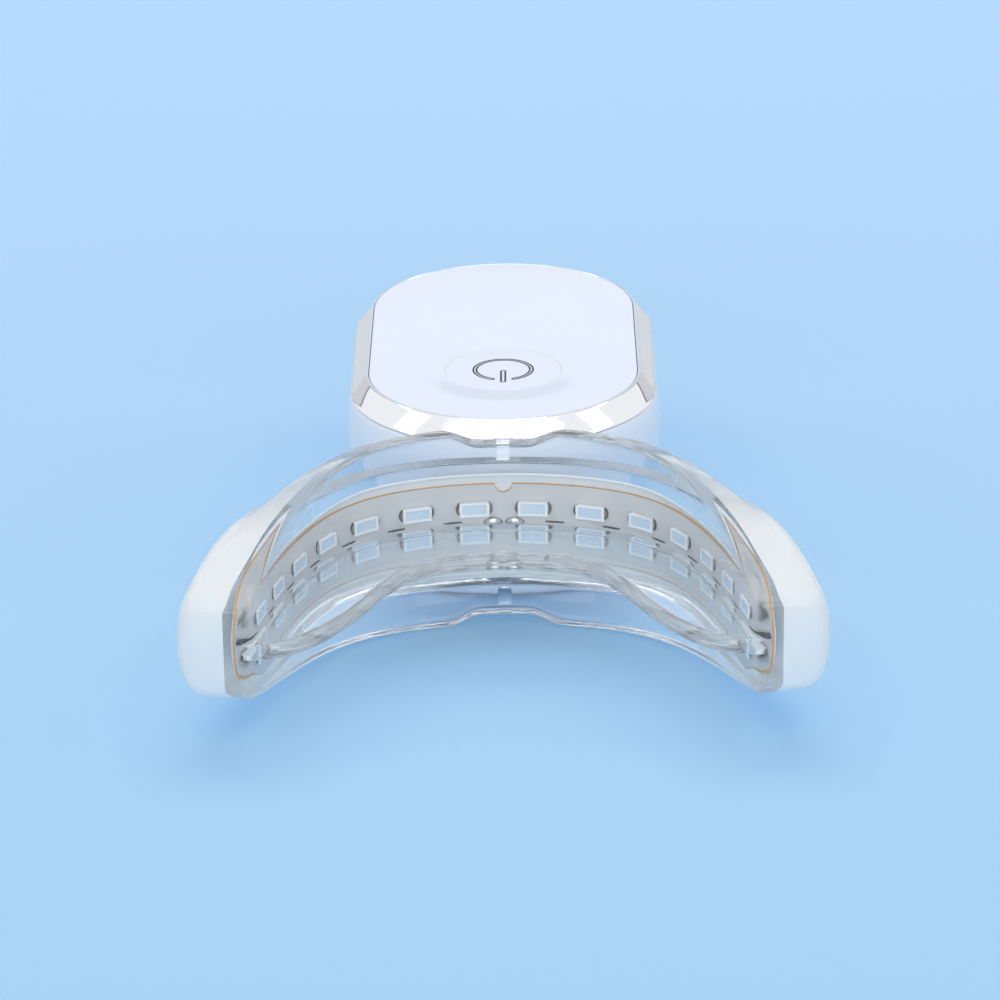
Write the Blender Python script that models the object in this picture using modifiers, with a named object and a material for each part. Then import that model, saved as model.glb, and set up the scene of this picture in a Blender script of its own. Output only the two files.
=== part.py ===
"""Cordless teeth whitening light.

A clear arched mouthpiece holds a flexible LED strip in a pocket behind its window. Its neck goes
into a pebble-shaped body with a bevelled metal ring, a glossy panel and one round push button.
The origin is the middle of the body's flat underside. +Z is up, +Y points to the rear of the body,
and the mouthpiece lies towards -Y. Around the mouthpiece, places are given by the arc length along
the strip face, the offset away from the teeth, and the height over the mouthpiece's middle plane.
"""

import math

import bmesh
import bpy
import numpy as np
from mathutils import Matrix, Vector

mm = 0.001

# Fits and shared values
fit_gap = 0.15 * mm            # between pieces that slide into each other
seat_gap = 0.1 * mm            # between pieces that rest on each other
film_gap = 0.04 * mm           # between thin films and small chips and what carries them
overrun = 2.0 * mm             # how far a cutter passes what it cuts
ribbon_half_thickness = 0.45 * mm
ribbon_half_width = 1.6 * mm
ribbon_step = 1.5 * mm         # spacing of the rings along a flat lead
ribbon_steps = 4

# Body outline: a stadium, widest at the belly
body_half_width = 16.8 * mm
body_half_straight = 10.05 * mm
body_over_neck = 9.4 * mm      # top of the body, over the middle of the neck
body_wall = 1.6 * mm
floor_thickness = 1.6 * mm
belly_drop = 5.6 * mm          # widest level, under the top
base_inset = 6.0 * mm          # flat underside, inside the widest outline
rim_inset = 0.45 * mm          # top rim, inside the widest outline
base_squareness = 2.2
base_level_shares = (1.0, 0.985, 0.94, 0.85, 0.7, 0.5, 0.25, 0.0)
rim_level_shares = (0.5, 1.0)
cavity_level_shares = (0.0, 0.08, 0.22, 0.45, 0.72, 1.0)
round_steps = 18               # flats on each half circle of a stadium
hidden_round_steps = 12        # the same on pieces inside the body

# Bevelled ring
ring_drop = 2.2 * mm
ring_width = 1.9 * mm
ring_bulge = 0.12 * mm
ring_ledge_width = 1.55 * mm
ring_ledge_thickness = 0.7 * mm
ring_skirt_thickness = 1.0 * mm

# Seals and tape
ring_seal_width = 0.6 * mm
ring_seal_height = 0.55 * mm
panel_tape_width = 1.2 * mm
panel_tape_thickness = 0.15 * mm

# Panel and its dish
panel_thickness = 1.6 * mm
panel_edge_round = 0.25 * mm
dish_depth = 0.55 * mm
dish_width = 2.6 * mm
dish_steps = 5

# Push button
button_radius = 6.3 * mm
button_shift = 1.65 * mm       # from the centre of the front round towards the rear
button_edge_round = 0.15 * mm
button_flange_width = 0.8 * mm
button_flange_thickness = 0.8 * mm
button_stem_radius = 1.6 * mm
button_travel = 0.4 * mm
turned_steps = 36

# Push switch
switch_width = 6.0 * mm
switch_height = 3.5 * mm
switch_corner = 0.4 * mm
plunger_radius = 1.7 * mm
plunger_rise = 0.85 * mm
plunger_sunk = 0.8 * mm

# Frame over the board, with its guide collar and standoffs
frame_thickness = 1.2 * mm
frame_edge_gap = 0.75 * mm
guide_wall = 0.7 * mm
press_room = 1.35 * mm         # from the frame to the button flange at rest
switch_window_gap = 0.5 * mm

# Posts and screws
post_radius = 2.0 * mm
post_foot_gap = 0.1 * mm       # post centres, inside the edge of the flat underside
front_post_angle = math.radians(27.5)
rear_post_angle = math.radians(45.0)
post_steps = 12
screw_radius = 0.75 * mm
screw_head_radius = 1.5 * mm
screw_head_height = 1.0 * mm
screw_head_sunk = 0.6 * mm
screw_bite = 5.0 * mm          # length inside the post
screw_slot_width = 0.4 * mm
screw_slot_depth = 0.4 * mm

# Circuit board and its parts
board_thickness = 1.0 * mm
board_edge_gap = 2.3 * mm
chip_round = 0.1 * mm
controller_size = (5.0 * mm, 5.0 * mm, 0.9 * mm)
driver_size = (3.0 * mm, 3.0 * mm, 0.8 * mm)
inductor_size = (4.0 * mm, 4.0 * mm, 1.8 * mm)
buzzer_size = (7.5 * mm, 7.5 * mm, 2.5 * mm)
buzzer_room = 0.3 * mm         # under the frame
buzzer_hole_radius = 0.9 * mm
buzzer_hole_depth = 1.0 * mm

# Charging socket
socket_width = 8.94 * mm
socket_height = 3.26 * mm
socket_depth = 7.35 * mm
socket_wall = 0.3 * mm
socket_back = 1.2 * mm
socket_recess = 0.9 * mm       # mouth, behind the outside of the wall
socket_corner_steps = 6
tongue_width = 6.69 * mm
tongue_thickness = 0.7 * mm
tongue_short = 0.7 * mm        # tip, behind the mouth

# Battery
battery_width = 20.0 * mm
battery_thickness = 6.0 * mm
battery_room = 0.8 * mm        # to the posts at both ends
battery_round = 1.2 * mm
battery_pad_thickness = 0.5 * mm
battery_pad_margin = 2.0 * mm
lead_spread = 1.16 * mm        # of each wire pair, from the middle

# Arch of the strip face
arch_half_width = 25.6 * mm
arch_depth = 27.7 * mm
arch_square_share = 0.39       # the rest of the depth follows the sixth power
arch_samples = 401

# Mouthpiece: flanges
rim_height = 10.7 * mm         # over the middle plane, at the two corners of the notch
end_height = 5.3 * mm          # over the middle plane, at the ends
notch_depth = 1.15 * mm
notch_half_length = 6.3 * mm
notch_flat_share = 0.42
tray_half_length = 46.4 * mm
tray_end_round = 1.2 * mm
tray_end_steps = 3
window_front = 2.0 * mm        # tooth side of the window, from the strip face
window_thickness = 0.9 * mm
flange_thickness = 2.4 * mm
rim_round = 0.6 * mm
end_corner_round = 1.2 * mm    # tooth-side edges at the ends
end_corner_start = 38.0 * mm
shoulder_growth = 3.0 * mm
shoulder_start = 18.0 * mm
shoulder_end = 44.0 * mm
notch_sections = 6
side_sections = 16

# Mouthpiece: bite plate
bite_thickness = 1.8 * mm
bite_width = 8.9 * mm
bite_least_width = 0.5 * mm
bite_end_squareness = 6.0
bite_end_roundness = 1.7
bite_root_fillet = 0.5 * mm

# Mouthpiece: pocket and the block that closes it
pocket_half_height = 4.95 * mm
pocket_end_wall = 1.5 * mm     # from the pocket's end to the mouthpiece's end
pocket_end_least = 0.1 * mm
block_half_height = 6.8 * mm
block_lip = 0.9 * mm
block_end_lip = 0.35 * mm
block_depth = 3.0 * mm         # outside of the block from the strip face, in the middle
block_end_depth = 6.0 * mm
block_growth_start = 8.0 * mm
block_squareness = 6.0
block_end_squareness = 2.3
cap_lip = 0.1 * mm
cap_cover_share = 0.4
block_level_shares = (1.0, 0.98, 0.93, 0.84, 0.68, 0.42, 0.14)

# Neck into the body
neck_gap = 0.4 * mm            # from the block to the body, in the middle
neck_half_width = 7.0 * mm
neck_half_height = 3.4 * mm
neck_groove_depth = 0.7 * mm
neck_groove_width = 1.2 * mm
neck_tail = 0.9 * mm
neck_steps = 8
neck_pad_margin = 1.9 * mm
neck_seal_thickness = 0.8 * mm
neck_seal_width = 1.5 * mm
neck_seal_room = 0.29 * mm     # from the seal's ends to the wall beside them
neck_clip_margin = 1.2 * mm
bore_half_width = 2.0 * mm
bore_half_height = 1.0 * mm

# LED strip
strip_side_margin = 0.17 * mm  # to the pocket's edges
strip_end_margin = 0.3 * mm    # to the pocket's ends
strip_thickness = 0.2 * mm
strip_notch_radius = 0.93 * mm
strip_adhesive_thickness = 0.12 * mm
strip_adhesive_margin = 0.6 * mm
led_count = 14
led_end_margin = 3.65 * mm     # last package, from the strip's end
led_row_height = 2.1 * mm
led_size = (3.0 * mm, 0.8 * mm, 1.4 * mm)
led_standoff = 0.14 * mm       # solder under a stiff package on the curved strip
led_window_rim = 0.3 * mm
led_window_depth = 0.3 * mm
led_terminal_inset = 0.12 * mm
led_terminal_length = 0.32 * mm
solder_radius = 0.95 * mm
solder_height = 0.5 * mm
solder_steps = 8

# Lengths, heights and places that follow from the sizes above
tray_z = rim_height
body_height = tray_z + body_over_neck
belly_height = body_height - belly_drop
pocket_half_length = tray_half_length - pocket_end_wall
strip_half_length = pocket_half_length - strip_end_margin
strip_half_height = pocket_half_height - strip_side_margin
led_pitch = (strip_half_length - led_end_margin) / ((led_count - 1) / 2)
rim_z = body_height - ring_drop - seat_gap
rim_half_width = body_half_width - rim_inset
ring_outer = rim_half_width
panel_opening = ring_outer - ring_width
panel_half_width = panel_opening - seat_gap
panel_bottom = body_height - panel_thickness
ring_ledge_z = panel_bottom - panel_tape_thickness - 2 * film_gap
ring_ledge_inner = panel_opening - ring_ledge_width
button_y = button_shift - body_half_straight
button_top = body_height - dish_depth
flange_top = panel_bottom - fit_gap
flange_bottom = flange_top - button_flange_thickness
flange_radius = button_radius + button_flange_width
guide_inner = flange_radius + 2 * seat_gap
frame_top = flange_bottom - press_room
frame_bottom = frame_top - frame_thickness
standoff_bottom = frame_bottom - buzzer_size[2] - buzzer_room
board_top = standoff_bottom - seat_gap
board_bottom = board_top - board_thickness
post_top = board_bottom - seat_gap
switch_base = board_top + film_gap
switch_top = switch_base + switch_height
plunger_top = switch_top + plunger_rise
post_reach = body_half_width - base_inset - post_foot_gap
front_post = (post_reach * math.cos(front_post_angle),
              -body_half_straight - post_reach * math.sin(front_post_angle))
rear_post = (post_reach * math.cos(rear_post_angle),
             body_half_straight + post_reach * math.sin(rear_post_angle))
battery_half_length = (rear_post[1] - front_post[1]) / 2 - post_radius - battery_room
battery_y = (rear_post[1] + front_post[1]) / 2
battery_pad_z = floor_thickness + seat_gap
battery_z = battery_pad_z + battery_pad_thickness + seat_gap
flange_back = flange_thickness - window_front
pocket_front = window_front - window_thickness
block_inner = flange_back + film_gap
body_front = -body_half_straight - body_half_width
tray_y = body_front - neck_gap - block_depth
neck_seal_reach = neck_half_width + neck_seal_width + neck_seal_room
neck_pad_y = -body_half_straight - math.sqrt((body_half_width - body_wall) ** 2
                                             - neck_seal_reach ** 2)
neck_seal_y = neck_pad_y + seat_gap
neck_clip_y = neck_seal_y + neck_seal_thickness + seat_gap
neck_clip_thickness = neck_groove_width - 2 * seat_gap
neck_end_y = neck_clip_y + neck_groove_width + neck_tail
switch_front = button_y - switch_width / 2
board_front = (neck_end_y + switch_front) / 2
lead_middle_y = (neck_end_y + board_front) / 2
lead_end_y = (board_front + switch_front) / 2

model = bpy.data.collections.new("teeth_whitening_light")
cutters = bpy.data.collections.new("cutters")


# Small helpers

def ease(t):
    """Smooth step from 0 to 1."""
    t = min(1.0, max(0.0, t))
    return t * t * (3.0 - 2.0 * t)


def material(name, colour, roughness, metallic=0.0, transmission=0.0):
    """Plain finish of one piece."""
    result = bpy.data.materials.new(name)
    result.use_nodes = True
    shader = result.node_tree.nodes["Principled BSDF"]
    shader.inputs["Base Color"].default_value = (*colour, 1.0)
    shader.inputs["Roughness"].default_value = roughness
    shader.inputs["Metallic"].default_value = metallic
    shader.inputs["Transmission Weight"].default_value = transmission
    result.diffuse_color = (*colour, 1.0)
    return result


def empty(name, place):
    """Named centre that pieces are placed from."""
    result = bpy.data.objects.new(name, None)
    result.location = place
    model.objects.link(result)
    return result


def put(name, mesh, parent=None, place=(0, 0, 0), finish=None):
    """Put a mesh in the model, or with the cutters if it has no finish."""
    mesh.name = name
    result = bpy.data.objects.new(name, mesh)
    result.location = place
    result.parent = parent
    if finish is None:
        cutters.objects.link(result)
        result.hide_render = True
        result.display_type = "WIRE"
    else:
        model.objects.link(result)
        mesh.materials.append(finish)
    return result


def mesh_from(bm, smooth_angle=None):
    """Finished mesh of a bmesh, shaded smooth up to an angle."""
    bmesh.ops.recalc_face_normals(bm, faces=bm.faces)
    mesh = bpy.data.meshes.new("mesh")
    bm.to_mesh(mesh)
    bm.free()
    if smooth_angle is not None:
        mesh.shade_smooth()
        mesh.set_sharp_from_angle(angle=smooth_angle)
    return mesh


soft_edge = math.radians(35.0)


def loft(rings, smooth_angle=soft_edge):
    """Closed skin over rings of equally many points, with a flat cap at each end."""
    bm = bmesh.new()
    rows = [[bm.verts.new(point) for point in ring] for ring in rings]
    count = len(rows[0])
    for first, second in zip(rows, rows[1:]):
        for i in range(count):
            j = (i + 1) % count
            bm.faces.new((first[i], first[j], second[j], second[i]))
    bm.faces.new(rows[0])
    bm.faces.new(reversed(rows[-1]))
    return mesh_from(bm, smooth_angle)


def loop(rings, smooth_angle=soft_edge):
    """Closed skin over rings that return to the first one, such as a frame or a seal."""
    bm = bmesh.new()
    rows = [[bm.verts.new(point) for point in ring] for ring in rings]
    count = len(rows[0])
    for k in range(len(rows)):
        first, second = rows[k], rows[(k + 1) % len(rows)]
        for i in range(count):
            j = (i + 1) % count
            bm.faces.new((first[i], first[j], second[j], second[i]))
    return mesh_from(bm, smooth_angle)


def stadium(half_width, half_straight, z, steps=round_steps):
    """Ring of points round a stadium that is long in Y."""
    points = []
    for end in (1, -1):
        for i in range(steps + 1):
            angle = math.pi * i / steps + (0 if end > 0 else math.pi)
            x = half_width * math.cos(angle)
            y = half_width * math.sin(angle) + end * half_straight
            points.append((x, y, z))
    return points


def box_into(bm, size, matrix):
    """Add a box of the given size to a bmesh."""
    made = bmesh.ops.create_cube(bm, size=1.0)["verts"]
    bmesh.ops.transform(bm, matrix=matrix @ Matrix.Diagonal((*size, 1.0)), verts=made)
    return made


def cylinder_into(bm, radius, bottom, top, x=0.0, y=0.0, steps=post_steps):
    """Add an upright cylinder to a bmesh."""
    middle = Matrix.Translation((x, y, (bottom + top) / 2))
    bmesh.ops.create_cone(bm, cap_ends=True, segments=steps, radius1=radius, radius2=radius,
                          depth=top - bottom, matrix=middle)


def box_mesh(low, high):
    """Box between two corners."""
    bm = bmesh.new()
    low, high = Vector(low), Vector(high)
    box_into(bm, high - low, Matrix.Translation((low + high) / 2))
    return mesh_from(bm)


def turned_mesh(profile):
    """Open profile in the XZ plane, to be turned about Z."""
    mesh = bpy.data.meshes.new("profile")
    edges = [(i, i + 1) for i in range(len(profile) - 1)]
    mesh.from_pydata([(radius, 0.0, z) for radius, z in profile], edges, [])
    return mesh


def turn(piece, steps=turned_steps):
    """Turn a profile about the piece's own Z axis."""
    screw = piece.modifiers.new("turn", "SCREW")
    screw.steps = steps
    screw.render_steps = steps
    screw.use_merge_vertices = True
    screw.merge_threshold = film_gap / 4
    screw.use_smooth_shade = True
    return piece


def cut(target, cutter, operation="DIFFERENCE"):
    """Exact Boolean of one piece with another."""
    step = target.modifiers.new(cutter.name, "BOOLEAN")
    step.operation = operation
    step.solver = "EXACT"
    step.object = cutter
    return target


def soften(piece, width, segments=2):
    """Round the edges of a piece."""
    step = piece.modifiers.new("soft_edges", "BEVEL")
    step.width = width
    step.segments = segments
    step.limit_method = "ANGLE"
    return piece


def smooth_route(points, spacing):
    """Points along a smooth curve through the given ones."""
    knots = [np.array(p) for p in points]
    knots = [2 * knots[0] - knots[1]] + knots + [2 * knots[-1] - knots[-2]]
    route = []
    for a, b, c, d in zip(knots, knots[1:], knots[2:], knots[3:]):
        count = max(1, round(float(np.linalg.norm(c - b)) / spacing))
        for i in range(count):
            t = i / count
            route.append(0.5 * (2 * b + (c - a) * t + (2 * a - 5 * b + 4 * c - d) * t ** 2
                                + (3 * b - a - 3 * c + d) * t ** 3))
    route.append(knots[-2])
    return route


def ribbon(route):
    """Flat twin lead along a route of places in the YZ plane."""
    points = smooth_route(route, ribbon_step)
    rings = []
    for i, point in enumerate(points):
        along = points[min(i + 1, len(points) - 1)] - points[max(i - 1, 0)]
        along = along / np.linalg.norm(along)
        across = np.array([-along[1], along[0]])
        straight = ribbon_half_width - ribbon_half_thickness
        flat = stadium(ribbon_half_thickness, straight, 0.0, ribbon_steps)
        rings.append([(x, point[0] + across[0] * t, point[1] + across[1] * t)
                      for t, x, _ in flat])
    return loft(rings)


# The arch: places along the strip face

arch_x = np.linspace(0.0, arch_half_width, arch_samples)
arch_u = arch_x / arch_half_width
arch_y = -arch_depth * (arch_square_share * arch_u ** 2 + (1 - arch_square_share) * arch_u ** 6)
arch_step = np.hypot(np.diff(arch_x), np.diff(arch_y))
arch_length = np.concatenate([[0.0], np.cumsum(arch_step)])
arch_heading = np.arctan2(np.gradient(arch_y, arch_x), 1.0)


def arch_frame(s):
    """Place on the strip face at arc length s: X along the strip, Y away from the teeth, Z up."""
    a = abs(s)
    x = float(np.interp(a, arch_length, arch_x))
    y = float(np.interp(a, arch_length, arch_y))
    heading = float(np.interp(a, arch_length, arch_heading))
    past_end = max(0.0, a - float(arch_length[-1]))
    x += past_end * math.cos(heading)
    y += past_end * math.sin(heading)
    side = -1.0 if s < 0 else 1.0
    return Matrix.Translation((side * x, y, 0.0)) @ Matrix.Rotation(side * heading, 4, "Z")


def arch_ring(s, section):
    """Ring of a section's offsets and heights at arc length s."""
    frame = arch_frame(s)
    return [frame @ Vector((0.0, offset, height)) for offset, height in section]


def rim_half_height(s):
    """Height of the flange rims over the middle plane, with the notch in the middle."""
    a = abs(s)
    if a < notch_half_length:
        t = (a / notch_half_length - notch_flat_share) / (1 - notch_flat_share)
        return rim_height - notch_depth * (1 - ease(t))
    u = (a - notch_half_length) / (tray_half_length - notch_half_length)
    return rim_height - (rim_height - end_height) * u ** 2


def shoulder(s):
    """How far the swelling towards the ends has come, from 0 to 1."""
    return ease((abs(s) - shoulder_start) / (shoulder_end - shoulder_start))


def flange_outside(s):
    """Offset of the flange's outer face."""
    return flange_back + shoulder_growth * shoulder(s)


def block_half(s):
    """Half height of the block behind the strip."""
    lip = block_lip + (block_end_lip - block_lip) * shoulder(s)
    return min(block_half_height, rim_half_height(s) - lip)


def cap_half(s):
    """Half height of the block outside the flanges, whose edges it covers towards the ends."""
    low = block_half(s) + cap_lip
    return low + cap_cover_share * shoulder(s) * (rim_half_height(s) - low)


def block_outside(s, share, start):
    """Offset of the block's outer face, at a share of its half height, bulging from a start."""
    swell = ease((abs(s) - block_growth_start) / (tray_half_length - block_growth_start))
    depth = block_depth + (block_end_depth - block_depth) * swell
    power = block_squareness + (block_end_squareness - block_squareness) * swell
    return start + (depth - start) * (1 - share ** power) ** (1 / power)


def bite_reach(s):
    """Width of the bite plate, from the window's face to its edge."""
    u = min(1.0, abs(s) / tray_half_length)
    width = bite_width * (1 - u ** bite_end_squareness) ** (1 / bite_end_roundness)
    return max(bite_least_width, width)


def quarter(steps):
    """Angles over a quarter turn."""
    return [math.pi / 2 * i / steps for i in range(steps + 1)]


def tray_section(s):
    """Outline of the whole mouthpiece: offsets and heights, from the bite plate's edge round."""
    reach = bite_reach(s)
    nose = min(bite_thickness / 2, reach / 2)
    fillet = min(bite_root_fillet, reach / 2)
    rim = rim_half_height(s)
    back = flange_outside(s)
    half = cap_half(s)
    corner = min(rim_round, rim - half)
    grown = ease((abs(s) - end_corner_start) / (tray_half_length - end_corner_start))
    tooth_corner = rim_round + (end_corner_round - rim_round) * grown
    upper = []
    for a in quarter(3):
        upper.append((-window_front - reach + nose * (1 - math.cos(a)),
                      bite_thickness / 2 * math.sin(a)))
    for a in quarter(2):
        upper.append((-window_front - fillet * (1 - math.sin(a)),
                      bite_thickness / 2 + fillet * (1 - math.cos(a))))
    for a in quarter(3):
        upper.append((-window_front + tooth_corner * (1 - math.cos(a)),
                      rim - tooth_corner * (1 - math.sin(a))))
    for a in quarter(2):
        upper.append((back - corner * (1 - math.sin(a)), rim - corner * (1 - math.cos(a))))
    for share in block_level_shares:
        upper.append((block_outside(s, share, back), half * share))
    return upper + [(offset, -height) for offset, height in reversed(upper[1:])]


def shrunk(section, amount):
    """A section drawn in all round by about the given amount."""
    offsets = [offset for offset, height in section]
    middle = (max(offsets) + min(offsets)) / 2
    across = 1 - 2 * amount / (max(offsets) - min(offsets))
    along = 1 - amount / max(height for offset, height in section)
    return [(middle + (offset - middle) * across, height * along) for offset, height in section]


def arc_places(last):
    """Arc lengths of the sections from one end to the other, closer together at the notch."""
    near = np.linspace(0.0, notch_half_length, notch_sections)
    far = np.linspace(notch_half_length, last, side_sections)
    half = [float(s) for s in near] + [float(s) for s in far[1:]]
    return [-s for s in reversed(half[1:])] + half


# Mouthpiece

def make_tray_front(mouthpiece):
    """Clear moulding: window, flanges, bite plate and closed ends, with a pocket from behind."""
    straight_end = tray_half_length - tray_end_round
    rings = [arch_ring(s, tray_section(s)) for s in arc_places(straight_end)]
    for a in quarter(tray_end_steps)[1:]:
        s = straight_end + tray_end_round * math.sin(a)
        section = shrunk(tray_section(s), tray_end_round * (1 - math.cos(a)) / 2)
        rings.append(arch_ring(s, section))
        rings.insert(0, arch_ring(-s, section))
    clear = material("clear_tray", (0.86, 0.93, 0.97), 0.06, transmission=1.0)
    tray = put("tray_front", loft(rings), mouthpiece, finish=clear)

    pocket_rings = []
    round_start = pocket_half_length - pocket_half_height
    for s in arc_places(pocket_half_length):
        past = max(0.0, abs(s) - round_start) / (pocket_half_height + pocket_end_least)
        inner = min(pocket_half_height * math.sqrt(1 - past ** 2), block_half(s))
        outer = block_half(s) + fit_gap
        step = flange_outside(s) + fit_gap
        beyond = block_end_depth + overrun
        half = [(-pocket_front, inner), (flange_back, outer), (step, outer),
                (step, rim_height), (beyond, rim_height)]
        pocket_rings.append(arch_ring(s, half + [(d, -z) for d, z in reversed(half)]))
    pocket = put("pocket_cutter", loft(pocket_rings), mouthpiece)
    return cut(tray, pocket)


def make_tray_back(mouthpiece):
    """Clear block that closes the pocket, with the grooved neck and the bore for the leads."""
    rings = []
    for s in arc_places(pocket_half_length - fit_gap):
        step = flange_outside(s) + 2 * fit_gap
        half = [(block_inner, block_half(s)), (step, block_half(s)), (step, cap_half(s))]
        for share in block_level_shares[1:]:
            half.append((block_outside(s, share, step), cap_half(s) * share))
        rings.append(arch_ring(s, half + [(d, -z) for d, z in reversed(half)]))
    clear = material("clear_block", (0.88, 0.94, 0.97), 0.08, transmission=1.0)
    block = put("tray_back", loft(rings), mouthpiece, finish=clear)

    groove = neck_clip_y - seat_gap
    places = [(tray_y + block_depth * 0.5, 0.0), (groove, 0.0), (groove, neck_groove_depth),
              (groove + neck_groove_width, neck_groove_depth),
              (groove + neck_groove_width, 0.0), (neck_end_y, 0.0)]
    neck_rings = []
    for y, inset in places:
        straight = neck_half_width - neck_half_height
        flat = stadium(neck_half_height - inset, straight, 0.0, neck_steps)
        neck_rings.append([(along, y - tray_y, across) for across, along, _ in flat])
    cut(block, put("neck_solid", loft(neck_rings), mouthpiece), "UNION")

    bore = box_mesh((-bore_half_width, 0.0, -bore_half_height),
                    (bore_half_width, neck_end_y - tray_y + overrun, bore_half_height))
    return cut(block, put("lead_bore", bore, mouthpiece))


def strip_columns():
    """Arc lengths and half heights of the strip, with its middle notches and round ends."""
    columns = []
    for a in quarter(4):
        s = strip_notch_radius * math.sin(a)
        columns.append((s, strip_half_height - strip_notch_radius * math.cos(a)))
    round_start = strip_half_length - strip_half_height
    for s in np.linspace(strip_notch_radius, round_start, 2 * side_sections)[1:]:
        columns.append((float(s), strip_half_height))
    for a in quarter(5)[1:-1]:
        columns.append((round_start + strip_half_height * math.sin(a),
                        strip_half_height * math.cos(a)))
    return [(-s, half) for s, half in reversed(columns[1:])] + columns


def film(columns, front, back, trim=0.0):
    """Thin curved sheet between two offsets, trimmed all round."""
    rings = []
    for s, half in columns:
        section = [(front, trim - half), (front, half - trim), (back, half - trim),
                   (back, trim - half)]
        rings.append(arch_ring(s, section))
    return loft(rings)


def make_strip(mouthpiece):
    """Flexible circuit and the adhesive film behind it."""
    white = material("solder_mask_white", (0.86, 0.88, 0.90), 0.45)
    put("led_strip", film(strip_columns(), 0.0, strip_thickness), mouthpiece, finish=white)

    glue = material("adhesive_film", (0.80, 0.82, 0.84), 0.6)
    front = strip_thickness + film_gap
    back = front + strip_adhesive_thickness
    inside = [(s, half) for s, half in strip_columns() if half > 2 * strip_adhesive_margin]
    adhesive = put("strip_adhesive", film(inside, front, back, strip_adhesive_margin),
                   mouthpiece, finish=glue)
    hole = box_mesh((-bore_half_width, 0.0, -bore_half_height),
                    (bore_half_width, overrun, bore_half_height))
    cut(adhesive, put("adhesive_hole", hole, mouthpiece))


def led_places():
    """Arc lengths of the LED columns."""
    return [(i - (led_count - 1) / 2) * led_pitch for i in range(led_count)]


def led_mesh():
    """LED package with its window recess and a metal terminal at each short end."""
    length, depth, height = led_size
    bm = bmesh.new()
    made = box_into(bm, led_size, Matrix.Translation((0.0, -depth / 2, 0.0)))
    faces = {face for vert in made for face in vert.link_faces}
    for face in faces:
        face.normal_update()
    front = min(faces, key=lambda face: face.normal.y)
    bmesh.ops.inset_individual(bm, faces=[front], thickness=led_window_rim)
    bmesh.ops.translate(bm, vec=(0.0, led_window_depth, 0.0), verts=front.verts)
    ends = [face for face in bm.faces if abs(face.normal.x) > 0.5 and len(face.verts) == 4
            and abs(abs(face.calc_center_median().x) - length / 2) < film_gap]
    for end in ends:
        bmesh.ops.inset_individual(bm, faces=[end], thickness=led_terminal_inset)
        bmesh.ops.translate(bm, vec=end.normal * led_terminal_length, verts=end.verts)
    bmesh.ops.triangulate(bm, faces=bm.faces)
    return mesh_from(bm)


def make_leds(mouthpiece):
    """Two rows of LED packages on the strip face."""
    package = material("led_package", (0.90, 0.92, 0.93), 0.4)
    mesh = led_mesh()
    mesh.materials.append(package)
    for row, height in (("upper", led_row_height), ("lower", -led_row_height)):
        for i, s in enumerate(led_places()):
            led = bpy.data.objects.new(f"led_{row}_{i + 1:02d}", mesh)
            led.parent = mouthpiece
            led.matrix_local = arch_frame(s) @ Matrix.Translation((0.0, -led_standoff, height))
            model.objects.link(led)


def make_solder(mouthpiece):
    """Solder dome over each lead's end, in the middle of the strip."""
    solder = material("solder", (0.80, 0.82, 0.84), 0.25, metallic=1.0)
    for side, name in ((-1, "solder_joint_left"), (1, "solder_joint_right")):
        bm = bmesh.new()
        bmesh.ops.create_uvsphere(bm, u_segments=2 * solder_steps, v_segments=solder_steps,
                                  radius=1.0)
        bmesh.ops.scale(bm, vec=(solder_radius, solder_height, solder_radius), verts=bm.verts)
        whole = bm.verts[:] + bm.edges[:] + bm.faces[:]
        sliced = bmesh.ops.bisect_plane(bm, geom=whole, plane_co=(0.0, 0.0, 0.0),
                                        plane_no=(0.0, 1.0, 0.0), clear_outer=True)
        rim = [item for item in sliced["geom_cut"] if isinstance(item, bmesh.types.BMEdge)]
        bmesh.ops.holes_fill(bm, edges=rim)
        dome = put(name, mesh_from(bm, soft_edge), mouthpiece, finish=solder)
        dome.matrix_local = (arch_frame(side * lead_spread)
                             @ Matrix.Translation((0.0, -film_gap, 0.0)))


def make_led_ribbon():
    """Flat twin lead from the strip through the neck, up to the front edge of the board."""
    white = material("lead_insulation", (0.85, 0.85, 0.86), 0.5)
    start = tray_y + strip_thickness + strip_adhesive_thickness + 3 * film_gap
    over_board = board_top + ribbon_half_thickness + film_gap
    route = [(start, tray_z), (neck_end_y - neck_tail, tray_z),
             (lead_middle_y, (tray_z + over_board) / 2 + ribbon_half_thickness),
             (board_front, over_board + ribbon_half_thickness),
             (lead_end_y, over_board)]
    put("led_ribbon", ribbon(route), finish=white)


def neck_outline(margin, y, steps=neck_steps):
    """Ring round the neck's section, grown by a margin, at a place along Y."""
    flat = stadium(neck_half_height + margin, neck_half_width - neck_half_height, 0.0, steps)
    return [(along, y, tray_z + across) for across, along, _ in flat]


def make_neck_fittings():
    """Rubber ring and locking fork round the neck, inside the housing."""
    rubber = material("seal_rubber", (0.25, 0.25, 0.26), 0.7)
    back = neck_seal_y + neck_seal_thickness
    inner, outer = film_gap, neck_seal_width
    seal = loop([neck_outline(inner, neck_seal_y), neck_outline(outer, neck_seal_y),
                 neck_outline(outer, back), neck_outline(inner, back)])
    put("neck_seal", seal, finish=rubber)

    steel = material("clip_steel", (0.70, 0.71, 0.72), 0.3, metallic=1.0)
    half_width = neck_half_width + neck_clip_margin
    half_height = neck_half_height + neck_clip_margin
    slot = neck_half_width - neck_groove_depth + seat_gap
    ceiling = neck_half_height - neck_groove_depth + seat_gap
    fork = [(-half_width, -half_height), (-slot, -half_height), (-slot, ceiling), (slot, ceiling),
            (slot, -half_height), (half_width, -half_height), (half_width, half_height),
            (-half_width, half_height)]
    rings = [[(x, y, tray_z + z) for x, z in fork]
             for y in (neck_clip_y, neck_clip_y + neck_clip_thickness)]
    put("neck_clip", loft(rings), finish=steel)


# Body

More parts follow.
